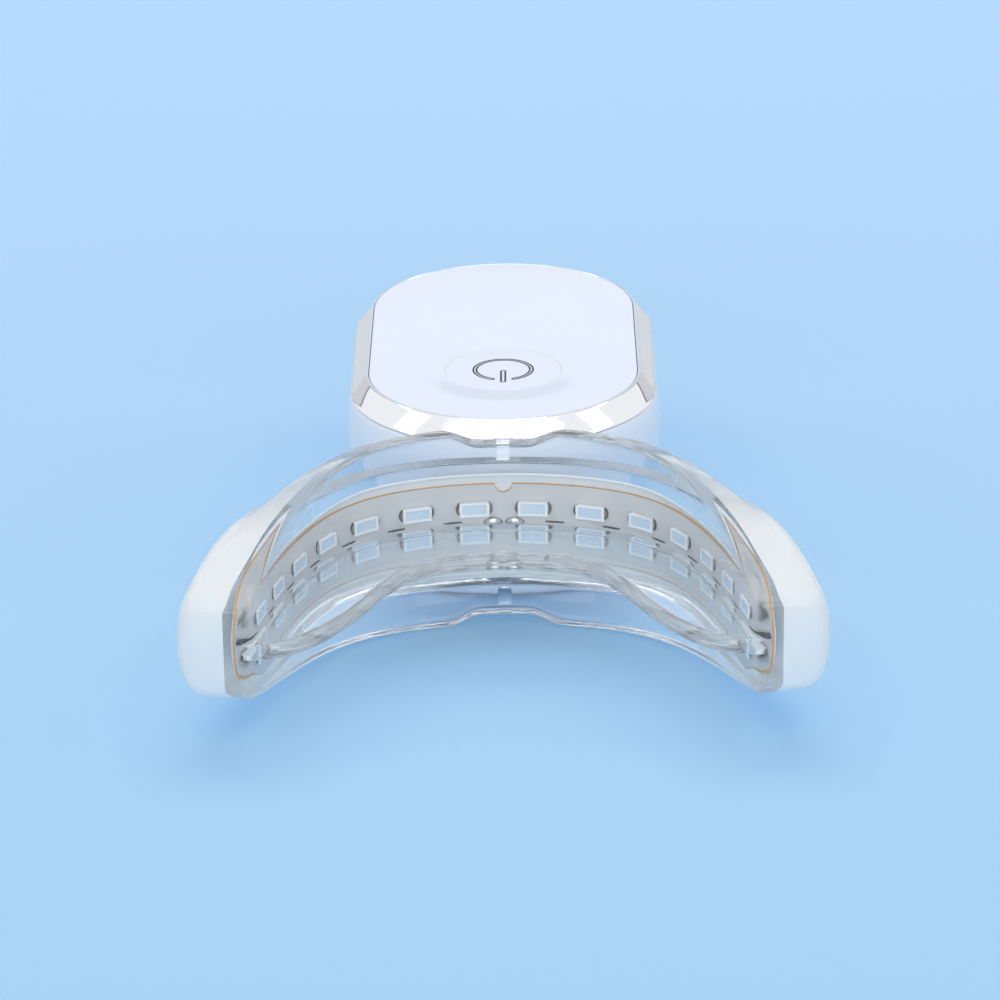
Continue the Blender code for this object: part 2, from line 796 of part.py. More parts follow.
def body_half_at(z):
    """Half width of the body's outside at a height."""
    if z < belly_height:
        u = (belly_height - z) / belly_height
        drawn_in = 1 - max(0.0, 1 - u ** base_squareness) ** (1 / base_squareness)
        return body_half_width - base_inset * drawn_in
    u = (z - belly_height) / (rim_z - belly_height)
    return body_half_width - rim_inset * u ** 2


def round_plan(profile, closed=True, steps=round_steps):
    """Sweep a profile of half widths and heights round the body's stadium."""
    rings = [stadium(half, body_half_straight, z, steps) for half, z in profile]
    return loop(rings) if closed else loft(rings)


def post_places():
    """Centres of the four posts."""
    return [(side * x, y) for x, y in (front_post, rear_post) for side in (-1, 1)]


def columns_mesh(radius, bottom, top, places=None, steps=post_steps):
    """Upright cylinders at the posts, or at other places."""
    bm = bmesh.new()
    for x, y in places or post_places():
        cylinder_into(bm, radius, bottom, top, x, y, steps)
    return mesh_from(bm, soft_edge)


def make_housing():
    """Deep cup with posts, neck opening, seal groove and socket opening."""
    below = [belly_height * (1 - share) for share in base_level_shares]
    above = [belly_height + (rim_z - belly_height) * share for share in rim_level_shares]
    outside = [(body_half_at(z), z) for z in below + above]
    white = material("housing_white", (0.90, 0.91, 0.95), 0.22)
    housing = put("housing", round_plan(outside, closed=False), finish=white)

    heights = [floor_thickness + (rim_z - floor_thickness) * share for share in cavity_level_shares]
    inside = [(body_half_at(z) - body_wall, z) for z in heights]
    inside.append((inside[-1][0], rim_z + overrun))
    cavity = put("cavity", round_plan(inside, closed=False))
    cut(cavity, put("post_cores", columns_mesh(post_radius, -overrun, post_top)))
    pad_x = neck_half_width + neck_pad_margin
    pad_z = neck_half_height + neck_pad_margin
    pad = box_mesh((-pad_x, body_front - overrun, tray_z - pad_z),
                   (pad_x, neck_pad_y, tray_z + pad_z))
    cut(cavity, put("neck_pad", pad))
    cut(housing, cavity)

    screw_end = board_top - board_thickness - screw_bite
    pilot = columns_mesh(screw_radius + fit_gap, screw_end - fit_gap, post_top + overrun)
    cut(housing, put("pilot_holes", pilot))
    opening = [neck_outline(fit_gap, body_front - overrun),
               neck_outline(fit_gap, neck_pad_y + overrun)]
    cut(housing, put("neck_opening", loft(opening)))
    groove_half = ring_seal_width / 2 + fit_gap / 2
    middle = rim_half_width - body_wall / 2
    floor = rim_z - ring_seal_height
    groove = [(middle + groove_half, floor), (middle + groove_half, rim_z + overrun),
              (middle - groove_half, rim_z + overrun), (middle - groove_half, floor)]
    cut(housing, put("seal_groove", round_plan(groove, steps=hidden_round_steps)))
    mouth = socket_ring(2 * fit_gap, body_half_straight + body_half_width - body_wall - overrun)
    outside_mouth = socket_ring(2 * fit_gap, body_half_straight + body_half_width + overrun)
    return cut(housing, put("socket_opening", loft([mouth, outside_mouth])))


def make_ring():
    """Bevelled metal ring with the panel's ledge and the skirt that goes into the housing."""
    bottom = rim_z + seat_gap
    skirt_outer = rim_half_width - body_wall - fit_gap
    skirt_inner = skirt_outer - ring_skirt_thickness
    skirt_bottom = frame_top + seat_gap
    profile = [(ring_outer, bottom)]
    for share in (0.25, 0.5, 0.75):
        swell = ring_bulge * math.sin(math.pi * share)
        profile.append((ring_outer - ring_width * share + swell,
                        bottom + ring_drop * share + swell))
    under_ledge = ring_ledge_z - ring_ledge_thickness
    profile += [(panel_opening, body_height), (panel_opening, ring_ledge_z),
                (ring_ledge_inner, ring_ledge_z), (ring_ledge_inner, under_ledge),
                (skirt_inner, under_ledge), (skirt_inner, skirt_bottom),
                (skirt_outer, skirt_bottom), (skirt_outer, bottom)]
    chrome = material("chrome", (0.86, 0.87, 0.88), 0.06, metallic=1.0)
    put("chrome_ring", round_plan(profile), finish=chrome)

    rubber = material("ring_rubber", (0.25, 0.25, 0.26), 0.7)
    middle = rim_half_width - body_wall / 2
    low = rim_z - ring_seal_height + film_gap
    high = rim_z + film_gap
    half = ring_seal_width / 2
    seal = [(middle + half, low), (middle + half, high), (middle - half, high),
            (middle - half, low)]
    put("ring_seal", round_plan(seal, steps=hidden_round_steps), finish=rubber)


def make_panel():
    """Glossy panel with the dished button opening, and the tape that holds it on the ledge."""
    profile = [(panel_half_width, panel_bottom)]
    for a in quarter(2):
        profile.append((panel_half_width - panel_edge_round * (1 - math.cos(a)),
                        body_height - panel_edge_round * (1 - math.sin(a))))
    gloss = material("panel_gloss_white", (0.91, 0.93, 0.98), 0.08)
    panel = put("top_panel", round_plan(profile, closed=False), finish=gloss)

    opening = button_radius + fit_gap
    dish = [(0.0, overrun), (opening + dish_width, overrun)]
    for i in range(dish_steps + 1):
        t = i / dish_steps
        dish.append((opening + dish_width * (1 - t), -dish_depth * t ** 2))
    dish += [(opening, -panel_thickness - overrun), (0.0, -panel_thickness - overrun)]
    cutter = put("dish_cutter", turned_mesh(dish), place=(0, button_y, body_height))
    cut(panel, turn(cutter))

    film_finish = material("panel_tape", (0.15, 0.15, 0.16), 0.6)
    outer = panel_opening - fit_gap
    inner = outer - panel_tape_width
    low = ring_ledge_z + film_gap
    high = low + panel_tape_thickness
    tape = [(outer, low), (outer, high), (inner, high), (inner, low)]
    put("panel_tape", round_plan(tape, steps=hidden_round_steps), finish=film_finish)


def make_button():
    """Push button, turned about its own axis, with its retaining flange and stem."""
    flange_low = flange_bottom - button_top
    flange_high = flange_top - button_top
    stem_low = plunger_top + film_gap - button_top
    profile = [(0.0, 0.0)]
    for a in quarter(2):
        profile.append((button_radius - button_edge_round * (1 - math.sin(a)),
                        -button_edge_round * (1 - math.cos(a))))
    profile += [(button_radius, flange_high), (flange_radius, flange_high),
                (flange_radius, flange_low), (button_stem_radius, flange_low),
                (button_stem_radius, stem_low), (0.0, stem_low)]
    white = material("button_white", (0.92, 0.94, 0.99), 0.1)
    turn(put("power_button", turned_mesh(profile), place=(0, button_y, button_top), finish=white))


def make_frame():
    """Plate over the board: standoffs below, guide collar above, holes for screws and switch."""
    half = body_half_at(frame_bottom) - body_wall - frame_edge_gap
    grey = material("frame_abs", (0.80, 0.81, 0.82), 0.5)
    plate = [(half, frame_bottom), (half, frame_top)]
    frame = put("mid_frame", round_plan(plate, closed=False, steps=hidden_round_steps),
                finish=grey)
    inside_plate = (frame_top + frame_bottom) / 2
    cut(frame, put("standoffs", columns_mesh(post_radius, standoff_bottom, inside_plate)), "UNION")

    collar_top = panel_bottom - seat_gap
    outer = guide_inner + guide_wall
    collar = [(outer, collar_top), (outer, inside_plate), (guide_inner, inside_plate),
              (guide_inner, collar_top), (outer, collar_top)]
    collar_ring = turn(put("guide_collar", turned_mesh(collar), place=(0, button_y, 0)))
    cut(frame, collar_ring, "UNION")

    cut(frame, put("frame_screw_holes", columns_mesh(screw_radius + fit_gap,
                                                     standoff_bottom - overrun,
                                                     frame_top + overrun)))
    cut(frame, put("screw_head_seats", columns_mesh(screw_head_radius + fit_gap,
                                                    frame_top - screw_head_sunk,
                                                    frame_top + overrun)))
    window = switch_width / 2 + switch_window_gap
    opening = box_mesh((-window, button_y - window, frame_bottom - overrun),
                       (window, button_y + window, frame_top + overrun))
    cut(frame, put("switch_window", opening))
    notch_half = socket_width / 2 + 2 * fit_gap
    notch = box_mesh((-notch_half, socket_mouth_y - socket_depth - fit_gap, frame_bottom - overrun),
                     (notch_half, body_half_straight + body_half_width, frame_top + overrun))
    cut(frame, put("socket_notch", notch))
    clearance = neck_half_width + neck_pad_margin + 2 * fit_gap
    front = box_mesh((-clearance, body_front, frame_bottom - overrun),
                     (clearance, neck_clip_y + neck_groove_width + fit_gap, frame_top + overrun))
    cut(frame, put("neck_clearance", front))


def make_screws():
    """Four slotted screws through frame and board into the posts."""
    steel = material("screw_steel", (0.62, 0.62, 0.63), 0.35, metallic=1.0)
    seat = frame_top - screw_head_sunk + seat_gap
    tip = board_bottom - screw_bite - seat
    profile = [(0.0, screw_head_height), (screw_head_radius, screw_head_height),
               (screw_head_radius, 0.0), (screw_radius, 0.0), (screw_radius, tip + screw_radius),
               (screw_radius / 3, tip), (0.0, tip)]
    slot_size = (2 * screw_head_radius + overrun, screw_slot_width, 2 * screw_slot_depth)
    for number, (x, y) in enumerate(post_places(), start=1):
        screw = put(f"frame_screw_{number}", turned_mesh(profile), place=(x, y, seat),
                    finish=steel)
        turn(screw, post_steps)
        bm = bmesh.new()
        box_into(bm, slot_size, Matrix.Identity(4))
        slot = put(f"screw_slot_{number}", mesh_from(bm), place=(x, y, seat + screw_head_height))
        cut(screw, slot)


# Electronics

def make_board():
    """Board with its screw holes, cut straight at the front to clear the neck."""
    half = body_half_at(board_bottom) - body_wall - board_edge_gap
    green = material("board_green", (0.06, 0.30, 0.16), 0.45)
    outline = [(half, board_bottom), (half, board_top)]
    board = put("main_board", round_plan(outline, closed=False, steps=hidden_round_steps),
                finish=green)
    front = box_mesh((-body_half_width, body_front, board_bottom - overrun),
                     (body_half_width, board_front, board_top + overrun))
    cut(board, put("board_front_cut", front))
    holes = columns_mesh(screw_radius + fit_gap, board_bottom - overrun, board_top + overrun)
    cut(board, put("board_holes", holes))


def make_switch():
    """Push switch body with its bore, and the moving plunger."""
    black = material("switch_black", (0.07, 0.07, 0.08), 0.45)
    half = switch_width / 2
    centre = (0, button_y, 0)
    body = put("tact_switch", box_mesh((-half, -half, switch_base), (half, half, switch_top)),
               place=centre, finish=black)
    soften(body, switch_corner, 1)
    bore_bottom = switch_top - plunger_sunk - button_travel - fit_gap
    bore = columns_mesh(plunger_radius + seat_gap, bore_bottom, switch_top + overrun, [(0, 0)], 24)
    cut(body, put("plunger_bore", bore, place=centre))

    ivory = material("plunger_ivory", (0.80, 0.76, 0.66), 0.5)
    low = -plunger_sunk - plunger_rise
    profile = [(0.0, 0.0), (plunger_radius, 0.0), (plunger_radius, low), (0.0, low)]
    plunger = put("switch_plunger", turned_mesh(profile), place=(0, button_y, plunger_top),
                  finish=ivory)
    turn(plunger, 24)


def chip(name, size, x, y, finish, rounding=chip_round):
    """Box-shaped component standing on the board."""
    low = (x - size[0] / 2, y - size[1] / 2, board_top + film_gap)
    high = (x + size[0] / 2, y + size[1] / 2, board_top + film_gap + size[2])
    return soften(put(name, box_mesh(low, high), finish=finish), rounding, 1)


def make_chips():
    """Components on the upper side of the board."""
    black = material("chip_black", (0.05, 0.05, 0.06), 0.4)
    ferrite = material("ferrite_grey", (0.22, 0.22, 0.24), 0.5)
    buzzer_black = material("buzzer_black", (0.06, 0.06, 0.07), 0.5)
    side = body_half_width - body_wall - board_edge_gap
    rear = body_half_straight
    chip("controller_chip", controller_size, -side * 0.42, rear * 0.28, black)
    chip("led_driver_chip", driver_size, -side * 0.62, -rear * 0.28, black)
    chip("driver_inductor", inductor_size, -side * 0.62, rear * 0.92, ferrite, 4 * chip_round)
    buzzer_x, buzzer_y = side * 0.5, rear * 0.4
    buzzer = chip("buzzer", buzzer_size, buzzer_x, buzzer_y, buzzer_black, 3 * chip_round)
    top = board_top + film_gap + buzzer_size[2]
    port = columns_mesh(buzzer_hole_radius, top - buzzer_hole_depth, top + overrun,
                        [(buzzer_x, buzzer_y)], 16)
    cut(buzzer, put("buzzer_port", port))


socket_mouth_y = body_half_straight + body_half_width - socket_recess
socket_z = board_top + film_gap + socket_height / 2


def socket_ring(margin, y):
    """Ring round the socket's section, grown by a margin, at a place along Y."""
    radius = socket_height / 2 + margin
    straight = (socket_width - socket_height) / 2
    flat = stadium(radius, straight, 0.0, socket_corner_steps)
    return [(along, y, socket_z + across) for across, along, _ in flat]


def make_socket():
    """Charging socket: metal shell with a closed back, and the contact tongue inside."""
    steel = material("socket_steel", (0.72, 0.73, 0.74), 0.25, metallic=1.0)
    back = socket_mouth_y - socket_depth
    shell = put("charging_socket", loft([socket_ring(0.0, back), socket_ring(0.0, socket_mouth_y)]),
                finish=steel)
    inner_back = back + socket_back
    hollow = loft([socket_ring(-socket_wall, inner_back),
                   socket_ring(-socket_wall, socket_mouth_y + overrun)])
    cut(shell, put("socket_hollow", hollow))

    black = material("tongue_black", (0.05, 0.05, 0.06), 0.5)
    tongue = box_mesh((-tongue_width / 2, inner_back + seat_gap, socket_z - tongue_thickness / 2),
                      (tongue_width / 2, socket_mouth_y - tongue_short,
                       socket_z + tongue_thickness / 2))
    put("socket_tongue", tongue, finish=black)


def make_battery():
    """Pouch cell on its foam pad, with two leads to the underside of the board."""
    silver = material("cell_foil", (0.70, 0.71, 0.73), 0.35, metallic=0.8)
    half = battery_width / 2
    low = (-half, battery_y - battery_half_length, battery_z)
    high = (half, battery_y + battery_half_length, battery_z + battery_thickness)
    soften(put("battery", box_mesh(low, high), finish=silver), battery_round, 2)

    foam = material("foam_pad", (0.85, 0.85, 0.80), 0.9)
    pad_half = half - battery_pad_margin
    pad_length = battery_half_length - battery_pad_margin
    put("battery_pad", box_mesh((-pad_half, battery_y - pad_length, battery_pad_z),
                                (pad_half, battery_y + pad_length,
                                 battery_pad_z + battery_pad_thickness)), finish=foam)

    red = material("battery_lead", (0.55, 0.08, 0.07), 0.5)
    front = battery_y - battery_half_length - seat_gap
    bend = 3 * ribbon_half_thickness
    start_z = battery_z + battery_thickness / 2
    end_z = board_bottom - film_gap
    route = [(front, start_z), (front - bend, start_z), (front - 2 * bend, start_z + bend),
             (front - 2 * bend, end_z - bend), (front - 2 * bend, end_z)]
    put("battery_ribbon", ribbon(route), finish=red)


def main():
    """Clear the scene and build every piece."""
    for old in list(bpy.data.objects):
        bpy.data.objects.remove(old, do_unlink=True)
    bpy.context.scene.collection.children.link(model)
    bpy.context.scene.collection.children.link(cutters)
    mouthpiece = empty("mouthpiece", (0.0, tray_y, tray_z))
    make_tray_front(mouthpiece)
    make_tray_back(mouthpiece)
    make_strip(mouthpiece)
    make_leds(mouthpiece)
    make_solder(mouthpiece)
    make_led_ribbon()
    make_neck_fittings()
    make_housing()
    make_ring()
    make_panel()
    make_button()
    make_frame()
    make_screws()
    make_board()
    make_switch()
    make_chips()
    make_socket()
    make_battery()


main()
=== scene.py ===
"""Looks of the cordless teeth whitening light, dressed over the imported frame.

Lengths in the helpers are millimetres in the part's own frame and turn into metres where a mesh
is made. Around the mouthpiece, a place is an arc length along the strip, an offset away from the
teeth and a height over the mouthpiece's middle plane, as in the solids.
"""
import math

import bmesh
import bpy
import numpy as np
from mathutils import Matrix, Vector


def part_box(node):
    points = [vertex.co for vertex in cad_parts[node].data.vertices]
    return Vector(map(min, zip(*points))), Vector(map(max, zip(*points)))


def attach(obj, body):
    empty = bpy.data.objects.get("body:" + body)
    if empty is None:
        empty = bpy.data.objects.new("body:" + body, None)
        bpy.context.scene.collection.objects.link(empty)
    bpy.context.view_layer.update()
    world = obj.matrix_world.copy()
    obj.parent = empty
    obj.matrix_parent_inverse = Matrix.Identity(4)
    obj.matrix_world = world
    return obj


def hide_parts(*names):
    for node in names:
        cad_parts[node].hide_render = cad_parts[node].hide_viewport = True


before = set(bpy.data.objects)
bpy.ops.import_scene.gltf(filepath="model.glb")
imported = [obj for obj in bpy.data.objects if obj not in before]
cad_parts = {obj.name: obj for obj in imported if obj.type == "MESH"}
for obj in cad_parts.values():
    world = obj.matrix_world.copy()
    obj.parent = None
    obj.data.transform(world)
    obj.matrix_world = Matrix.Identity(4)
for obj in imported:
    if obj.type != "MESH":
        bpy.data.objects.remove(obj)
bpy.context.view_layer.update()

MM = 0.001
# Middle of the strip's face: its place along the part and its height over the table.
TRAY_Y, TRAY_Z = -30.25, 10.7


# Materials

def linear(rgb):
    """Scene-linear colour of an sRGB one."""
    return tuple(c / 12.92 if c <= 0.04045 else ((c + 0.055) / 1.055) ** 2.4 for c in rgb)


def surface(name, rgb, rough, metal=0.0, vary=0.03, vary_scale=60.0, rough_vary=0.04,
            grain=0.0, grain_scale=2500.0, coat=0.0, ior=1.47, glass=0.0):
    """Procedural finish: mottled colour, uneven gloss and a fine moulded or brushed grain."""
    mat = bpy.data.materials.new(name)
    mat.use_nodes = True
    tree = mat.node_tree
    shader = tree.nodes["Principled BSDF"]
    place = tree.nodes.new("ShaderNodeTexCoord")
    mottle = tree.nodes.new("ShaderNodeTexNoise")
    mottle.inputs["Scale"].default_value = vary_scale
    mottle.inputs["Detail"].default_value = 3.0
    tree.links.new(place.outputs["Object"], mottle.inputs["Vector"])
    mix = tree.nodes.new("ShaderNodeMix")
    mix.data_type = "RGBA"
    base = linear(rgb)
    mix.inputs["A"].default_value = (*[max(0.0, c * (1 - vary)) for c in base], 1)
    mix.inputs["B"].default_value = (*[min(1.0, c * (1 + vary)) for c in base], 1)
    tree.links.new(mottle.outputs["Fac"], mix.inputs["Factor"])
    tree.links.new(mix.outputs["Result"], shader.inputs["Base Color"])
    smear = tree.nodes.new("ShaderNodeTexNoise")
    smear.inputs["Scale"].default_value = vary_scale * 3.1
    smear.inputs["Detail"].default_value = 4.0
    tree.links.new(place.outputs["Object"], smear.inputs["Vector"])
    gloss = tree.nodes.new("ShaderNodeMapRange")
    gloss.inputs["To Min"].default_value = max(0.0, rough - rough_vary)
    gloss.inputs["To Max"].default_value = min(1.0, rough + rough_vary)
    tree.links.new(smear.outputs["Fac"], gloss.inputs["Value"])
    tree.links.new(gloss.outputs["Result"], shader.inputs["Roughness"])
    if grain > 0.0:
        fine = tree.nodes.new("ShaderNodeTexNoise")
        fine.inputs["Scale"].default_value = grain_scale
        fine.inputs["Detail"].default_value = 2.0
        tree.links.new(place.outputs["Object"], fine.inputs["Vector"])
        bump = tree.nodes.new("ShaderNodeBump")
        bump.inputs["Strength"].default_value = grain
        bump.inputs["Distance"].default_value = 0.02 * MM
        tree.links.new(fine.outputs["Fac"], bump.inputs["Height"])
        tree.links.new(bump.outputs["Normal"], shader.inputs["Normal"])
    shader.inputs["Metallic"].default_value = metal
    shader.inputs["IOR"].default_value = ior
    shader.inputs["Transmission Weight"].default_value = glass
    shader.inputs["Coat Weight"].default_value = coat
    shader.inputs["Coat Roughness"].default_value = 0.04
    mat.diffuse_color = (*base, 1)
    return mat


CLEAR = surface("clear_silicone", (0.985, 0.99, 0.992), 0.003, glass=0.95, ior=1.41, vary=0.004,
                rough_vary=0.003)
MILKY = surface("clear_silicone_block", (0.955, 0.965, 0.98), 0.012, glass=0.9, ior=1.41,
                vary=0.006, rough_vary=0.01)


def cloud_towards_ends(mat, start, end, clear, cloudy):
    """Thick silicone looks milky: less light goes straight through it towards the ends."""
    tree = mat.node_tree
    place = tree.nodes.new("ShaderNodeTexCoord")
    split = tree.nodes.new("ShaderNodeSeparateXYZ")
    amount = tree.nodes.new("ShaderNodeMapRange")
    amount.interpolation_type = "SMOOTHSTEP"
    amount.inputs["From Min"].default_value = start * MM
    amount.inputs["From Max"].default_value = end * MM
    amount.inputs["To Min"].default_value = clear
    amount.inputs["To Max"].default_value = cloudy
    tree.links.new(place.outputs["Object"], split.inputs["Vector"])
    tree.links.new(split.outputs["Y"], amount.inputs["Value"])
    tree.links.new(amount.outputs["Result"],
                   tree.nodes["Principled BSDF"].inputs["Transmission Weight"])


def let_lamps_through(mat, tint):
    """Lamps reach what is behind glass: shadow rays pass with a tint."""
    tree = mat.node_tree
    rays = tree.nodes.new("ShaderNodeLightPath")
    clear = tree.nodes.new("ShaderNodeBsdfTransparent")
    clear.inputs["Color"].default_value = (*tint, 1)
    mix = tree.nodes.new("ShaderNodeMixShader")
    tree.links.new(rays.outputs["Is Shadow Ray"], mix.inputs["Fac"])
    tree.links.new(tree.nodes["Principled BSDF"].outputs["BSDF"], mix.inputs[1])
    tree.links.new(clear.outputs["BSDF"], mix.inputs[2])
    tree.links.new(mix.outputs["Shader"], tree.nodes["Material Output"].inputs["Surface"])


cloud_towards_ends(MILKY, TRAY_Y - 5.0, TRAY_Y - 22.0, 0.93, 0.18)
milky_inputs = MILKY.node_tree.nodes["Principled BSDF"].inputs
milky_inputs["Subsurface Weight"].default_value = 1.0
milky_inputs["Subsurface Radius"].default_value = (1.0, 1.1, 1.2)
milky_inputs["Subsurface Scale"].default_value = 8 * MM
let_lamps_through(CLEAR, (0.82, 0.91, 0.96))
let_lamps_through(MILKY, (0.60, 0.70, 0.78))
MASK = surface("solder_mask", (0.825, 0.82, 0.82), 0.42, vary=0.02, vary_scale=180.0, grain=0.12)
AMBER = surface("polyimide_edge", (0.80, 0.60, 0.36), 0.35, vary=0.25, vary_scale=900.0)
# White of the adhesive film and the slot glue; the same white draws the painted highlight line
# along the slot's edge.
FILM_AND_HIGHLIGHT = surface("adhesive_film", (0.90, 0.91, 0.92), 0.55, grain=0.1)
PACKAGE = surface("led_package", (0.97, 0.975, 0.98), 0.35, vary_scale=700.0, grain=0.08)
LENS = surface("led_lens", (0.82, 0.875, 0.93), 0.12, vary=0.05, vary_scale=900.0, coat=0.6)
TIN = surface("tin", (0.78, 0.77, 0.74), 0.24, metal=1.0, vary=0.08, vary_scale=900.0)
# Dark metal of the resistor ends and of the rings at the domes' bases; the same dark paints the
# shade arcs beside the LED fillets.
DARK_EDGE_AND_SHADE = surface("solder_rim", (0.26, 0.26, 0.28), 0.3, metal=0.4, vary=0.1, vary_scale=900.0)
SOLDER = surface("solder", (0.88, 0.88, 0.87), 0.16, metal=1.0, vary=0.06, vary_scale=700.0)
CHIP = surface("chip_epoxy", (0.10, 0.10, 0.12), 0.42, vary=0.12, vary_scale=500.0, grain=0.25)
WHITE = surface("housing_gloss", (0.935, 0.95, 0.985), 0.2, vary=0.012, rough_vary=0.03,
                grain=0.02, grain_scale=900.0, coat=0.25)
PANEL = surface("panel_gloss", (0.895, 0.925, 0.99), 0.16, vary=0.01, rough_vary=0.03,
                grain=0.012, grain_scale=500.0, coat=0.2)
BUTTON = surface("button_gloss", (0.895, 0.925, 0.99), 0.16, vary=0.01, rough_vary=0.03,
                 grain=0.012, grain_scale=500.0, coat=0.2)
CHROME = surface("chrome", (0.925, 0.935, 0.95), 0.06, metal=1.0, vary=0.012, rough_vary=0.025,
                 grain=0.01, grain_scale=700.0)
INK = surface("symbol_ink", (0.06, 0.06, 0.07), 0.5, vary=0.1, vary_scale=900.0)
STEEL = surface("plated_steel", (0.74, 0.74, 0.75), 0.28, metal=1.0, vary=0.05, grain=0.1)
GOLD = surface("contact_gold", (0.88, 0.72, 0.38), 0.25, metal=1.0, vary=0.06, grain=0.05)
RUBBER = surface("seal_rubber", (0.28, 0.28, 0.29), 0.7, vary=0.08, grain=0.3)
PALE_SEAL = surface("neck_seal_silicone", (0.86, 0.875, 0.89), 0.5, vary=0.03, grain=0.15)
GREY_ABS = surface("frame_abs", (0.86, 0.865, 0.87), 0.5, grain=0.25)
BOARD = surface("board_mask", (0.12, 0.42, 0.25), 0.38, vary=0.12, vary_scale=400.0, grain=0.15)
BLACK = surface("moulded_black", (0.10, 0.10, 0.11), 0.48, vary=0.1, grain=0.25)
IVORY = surface("plunger_ivory", (0.86, 0.83, 0.74), 0.45, grain=0.2)
FERRITE = surface("ferrite", (0.30, 0.30, 0.32), 0.5, vary=0.15, vary_scale=500.0, grain=0.3)
FOIL = surface("cell_foil", (0.80, 0.81, 0.83), 0.32, metal=0.85, vary=0.06, grain=0.25,
               grain_scale=700.0)
FOAM = surface("foam", (0.90, 0.90, 0.86), 0.9, vary=0.06, vary_scale=900.0, grain=0.8)
TAPE = surface("tape", (0.24, 0.24, 0.25), 0.65, vary=0.08, grain=0.3)
RED_PVC = surface("lead_red", (0.70, 0.16, 0.13), 0.45, vary=0.06, grain=0.15)
WHITE_PVC = surface("lead_white", (0.90, 0.90, 0.91), 0.45, vary=0.03, grain=0.15)

CARRIED = {
    "strip_adhesive": FILM_AND_HIGHLIGHT, "led_ribbon": WHITE_PVC, "neck_seal": PALE_SEAL, "neck_clip": STEEL,
    "ring_seal": RUBBER, "panel_tape": TAPE, "mid_frame": GREY_ABS, "frame_screw_1": STEEL,
    "frame_screw_2": STEEL, "frame_screw_3": STEEL, "frame_screw_4": STEEL,
    "main_board": BOARD, "tact_switch": BLACK, "switch_plunger": IVORY,
    "controller_chip": CHIP, "led_driver_chip": CHIP, "driver_inductor": FERRITE,
    "buzzer": BLACK, "charging_socket": STEEL, "socket_tongue": BLACK, "battery": FOIL,
    "battery_pad": FOAM, "battery_ribbon": RED_PVC,
}
for node, mat in CARRIED.items():
    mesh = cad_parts[node].data
    mesh.materials.clear()
    mesh.materials.append(mat)
    mesh.shade_smooth()
    mesh.set_sharp_from_angle(angle=math.radians(32))


# Mesh helpers

def piece(name, mesh, body="body", stands_for=()):
    """Object that rides on a body and may stand for CAD nodes."""
    result = bpy.data.objects.new(name, mesh)
    bpy.context.scene.collection.objects.link(result)
    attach(result, body)
    if stands_for:
        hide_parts(*stands_for)
    return result


def mesh_of(verts, faces, mats, index=None, angle=35.0):
    """Mesh from millimetre points, smooth up to an angle."""
    mesh = bpy.data.meshes.new("mesh")
    mesh.from_pydata([tuple(c * MM for c in v) for v in verts], [], faces)
    for mat in mats:
        mesh.materials.append(mat)
    if index is not None:
        mesh.polygons.foreach_set("material_index", index)
    bm = bmesh.new()
    bm.from_mesh(mesh)
    bmesh.ops.recalc_face_normals(bm, faces=bm.faces)
    bm.to_mesh(mesh)
    bm.free()
    mesh.shade_smooth()
    mesh.set_sharp_from_angle(angle=math.radians(angle))
    return mesh


def skin(rings, closed=False):
    """Points and faces over rings of equally many points; open lofts get end caps."""
    verts = [tuple(p) for ring in rings for p in ring]
    n = len(rings[0])
    faces = []
    for k in range(len(rings) - (0 if closed else 1)):
        a, b = k * n, ((k + 1) % len(rings)) * n
        faces += [(a + i, a + (i + 1) % n, b + (i + 1) % n, b + i) for i in range(n)]
    if not closed:
        last = (len(rings) - 1) * n
        faces += [tuple(range(n)), tuple(range(last + n - 1, last - 1, -1))]
    return verts, faces


def turn(steps):
    """Angles of a full turn."""
    return [2 * math.pi * i / steps for i in range(steps)]


def quarter(steps):
    """Angles of a quarter turn, with both its ends."""
    return [math.pi / 2 * i / steps for i in range(steps + 1)]


def flat_ring(half_flat, radius, y, z):
    """Ring round a stadium that is long in X, at a place along the part."""
    return [(math.copysign(half_flat, math.cos(a)) + radius * math.cos(a), y,
             z + radius * math.sin(a)) for a in turn(48)]


def applied(obj):
    """Bake an object's modifiers into a plain mesh and drop the object."""
    graph = bpy.context.evaluated_depsgraph_get()
    mesh = bpy.data.meshes.new_from_object(obj.evaluated_get(graph))
    bpy.data.objects.remove(obj)
    return mesh


def combine(mesh, cutters):
    """Exact Booleans of a mesh with (mesh, operation) pairs."""
    target = bpy.data.objects.new("work", mesh)
    bpy.context.scene.collection.objects.link(target)
    made = []
    for other, operation in cutters:
        cutter = bpy.data.objects.new("work_cutter", other)
        bpy.context.scene.collection.objects.link(cutter)
        step = target.modifiers.new("step", "BOOLEAN")
        step.object = cutter
        step.operation = operation
        step.solver = "EXACT"
        made.append(cutter)
    result = applied(target)
    for cutter in made:
        bpy.data.objects.remove(cutter)
    result.shade_smooth()
    result.set_sharp_from_angle(angle=math.radians(35))
    return result


def box(low, high, mats):
    """Box mesh between two corners in millimetres."""
    x0, y0, z0 = low
    x1, y1, z1 = high
    verts = [(x, y, z) for z in (z0, z1) for x, y in ((x0, y0), (x1, y0), (x1, y1), (x0, y1))]
    faces = [(3, 2, 1, 0), (4, 5, 6, 7), (0, 1, 5, 4), (1, 2, 6, 5), (2, 3, 7, 6), (3, 0, 4, 7)]
    return mesh_of(verts, faces, mats)


# Arch of the strip face

ARCH_HALF, ARCH_DEPTH = 25.6, 27.7
X = np.linspace(0.0, ARCH_HALF, 1601)
Y = -ARCH_DEPTH * (0.39 * (X / ARCH_HALF) ** 2 + 0.61 * (X / ARCH_HALF) ** 6)
LENGTH = np.concatenate([[0.0], np.cumsum(np.hypot(np.diff(X), np.diff(Y)))])
HEADING = np.arctan2(np.gradient(Y, X), 1.0)


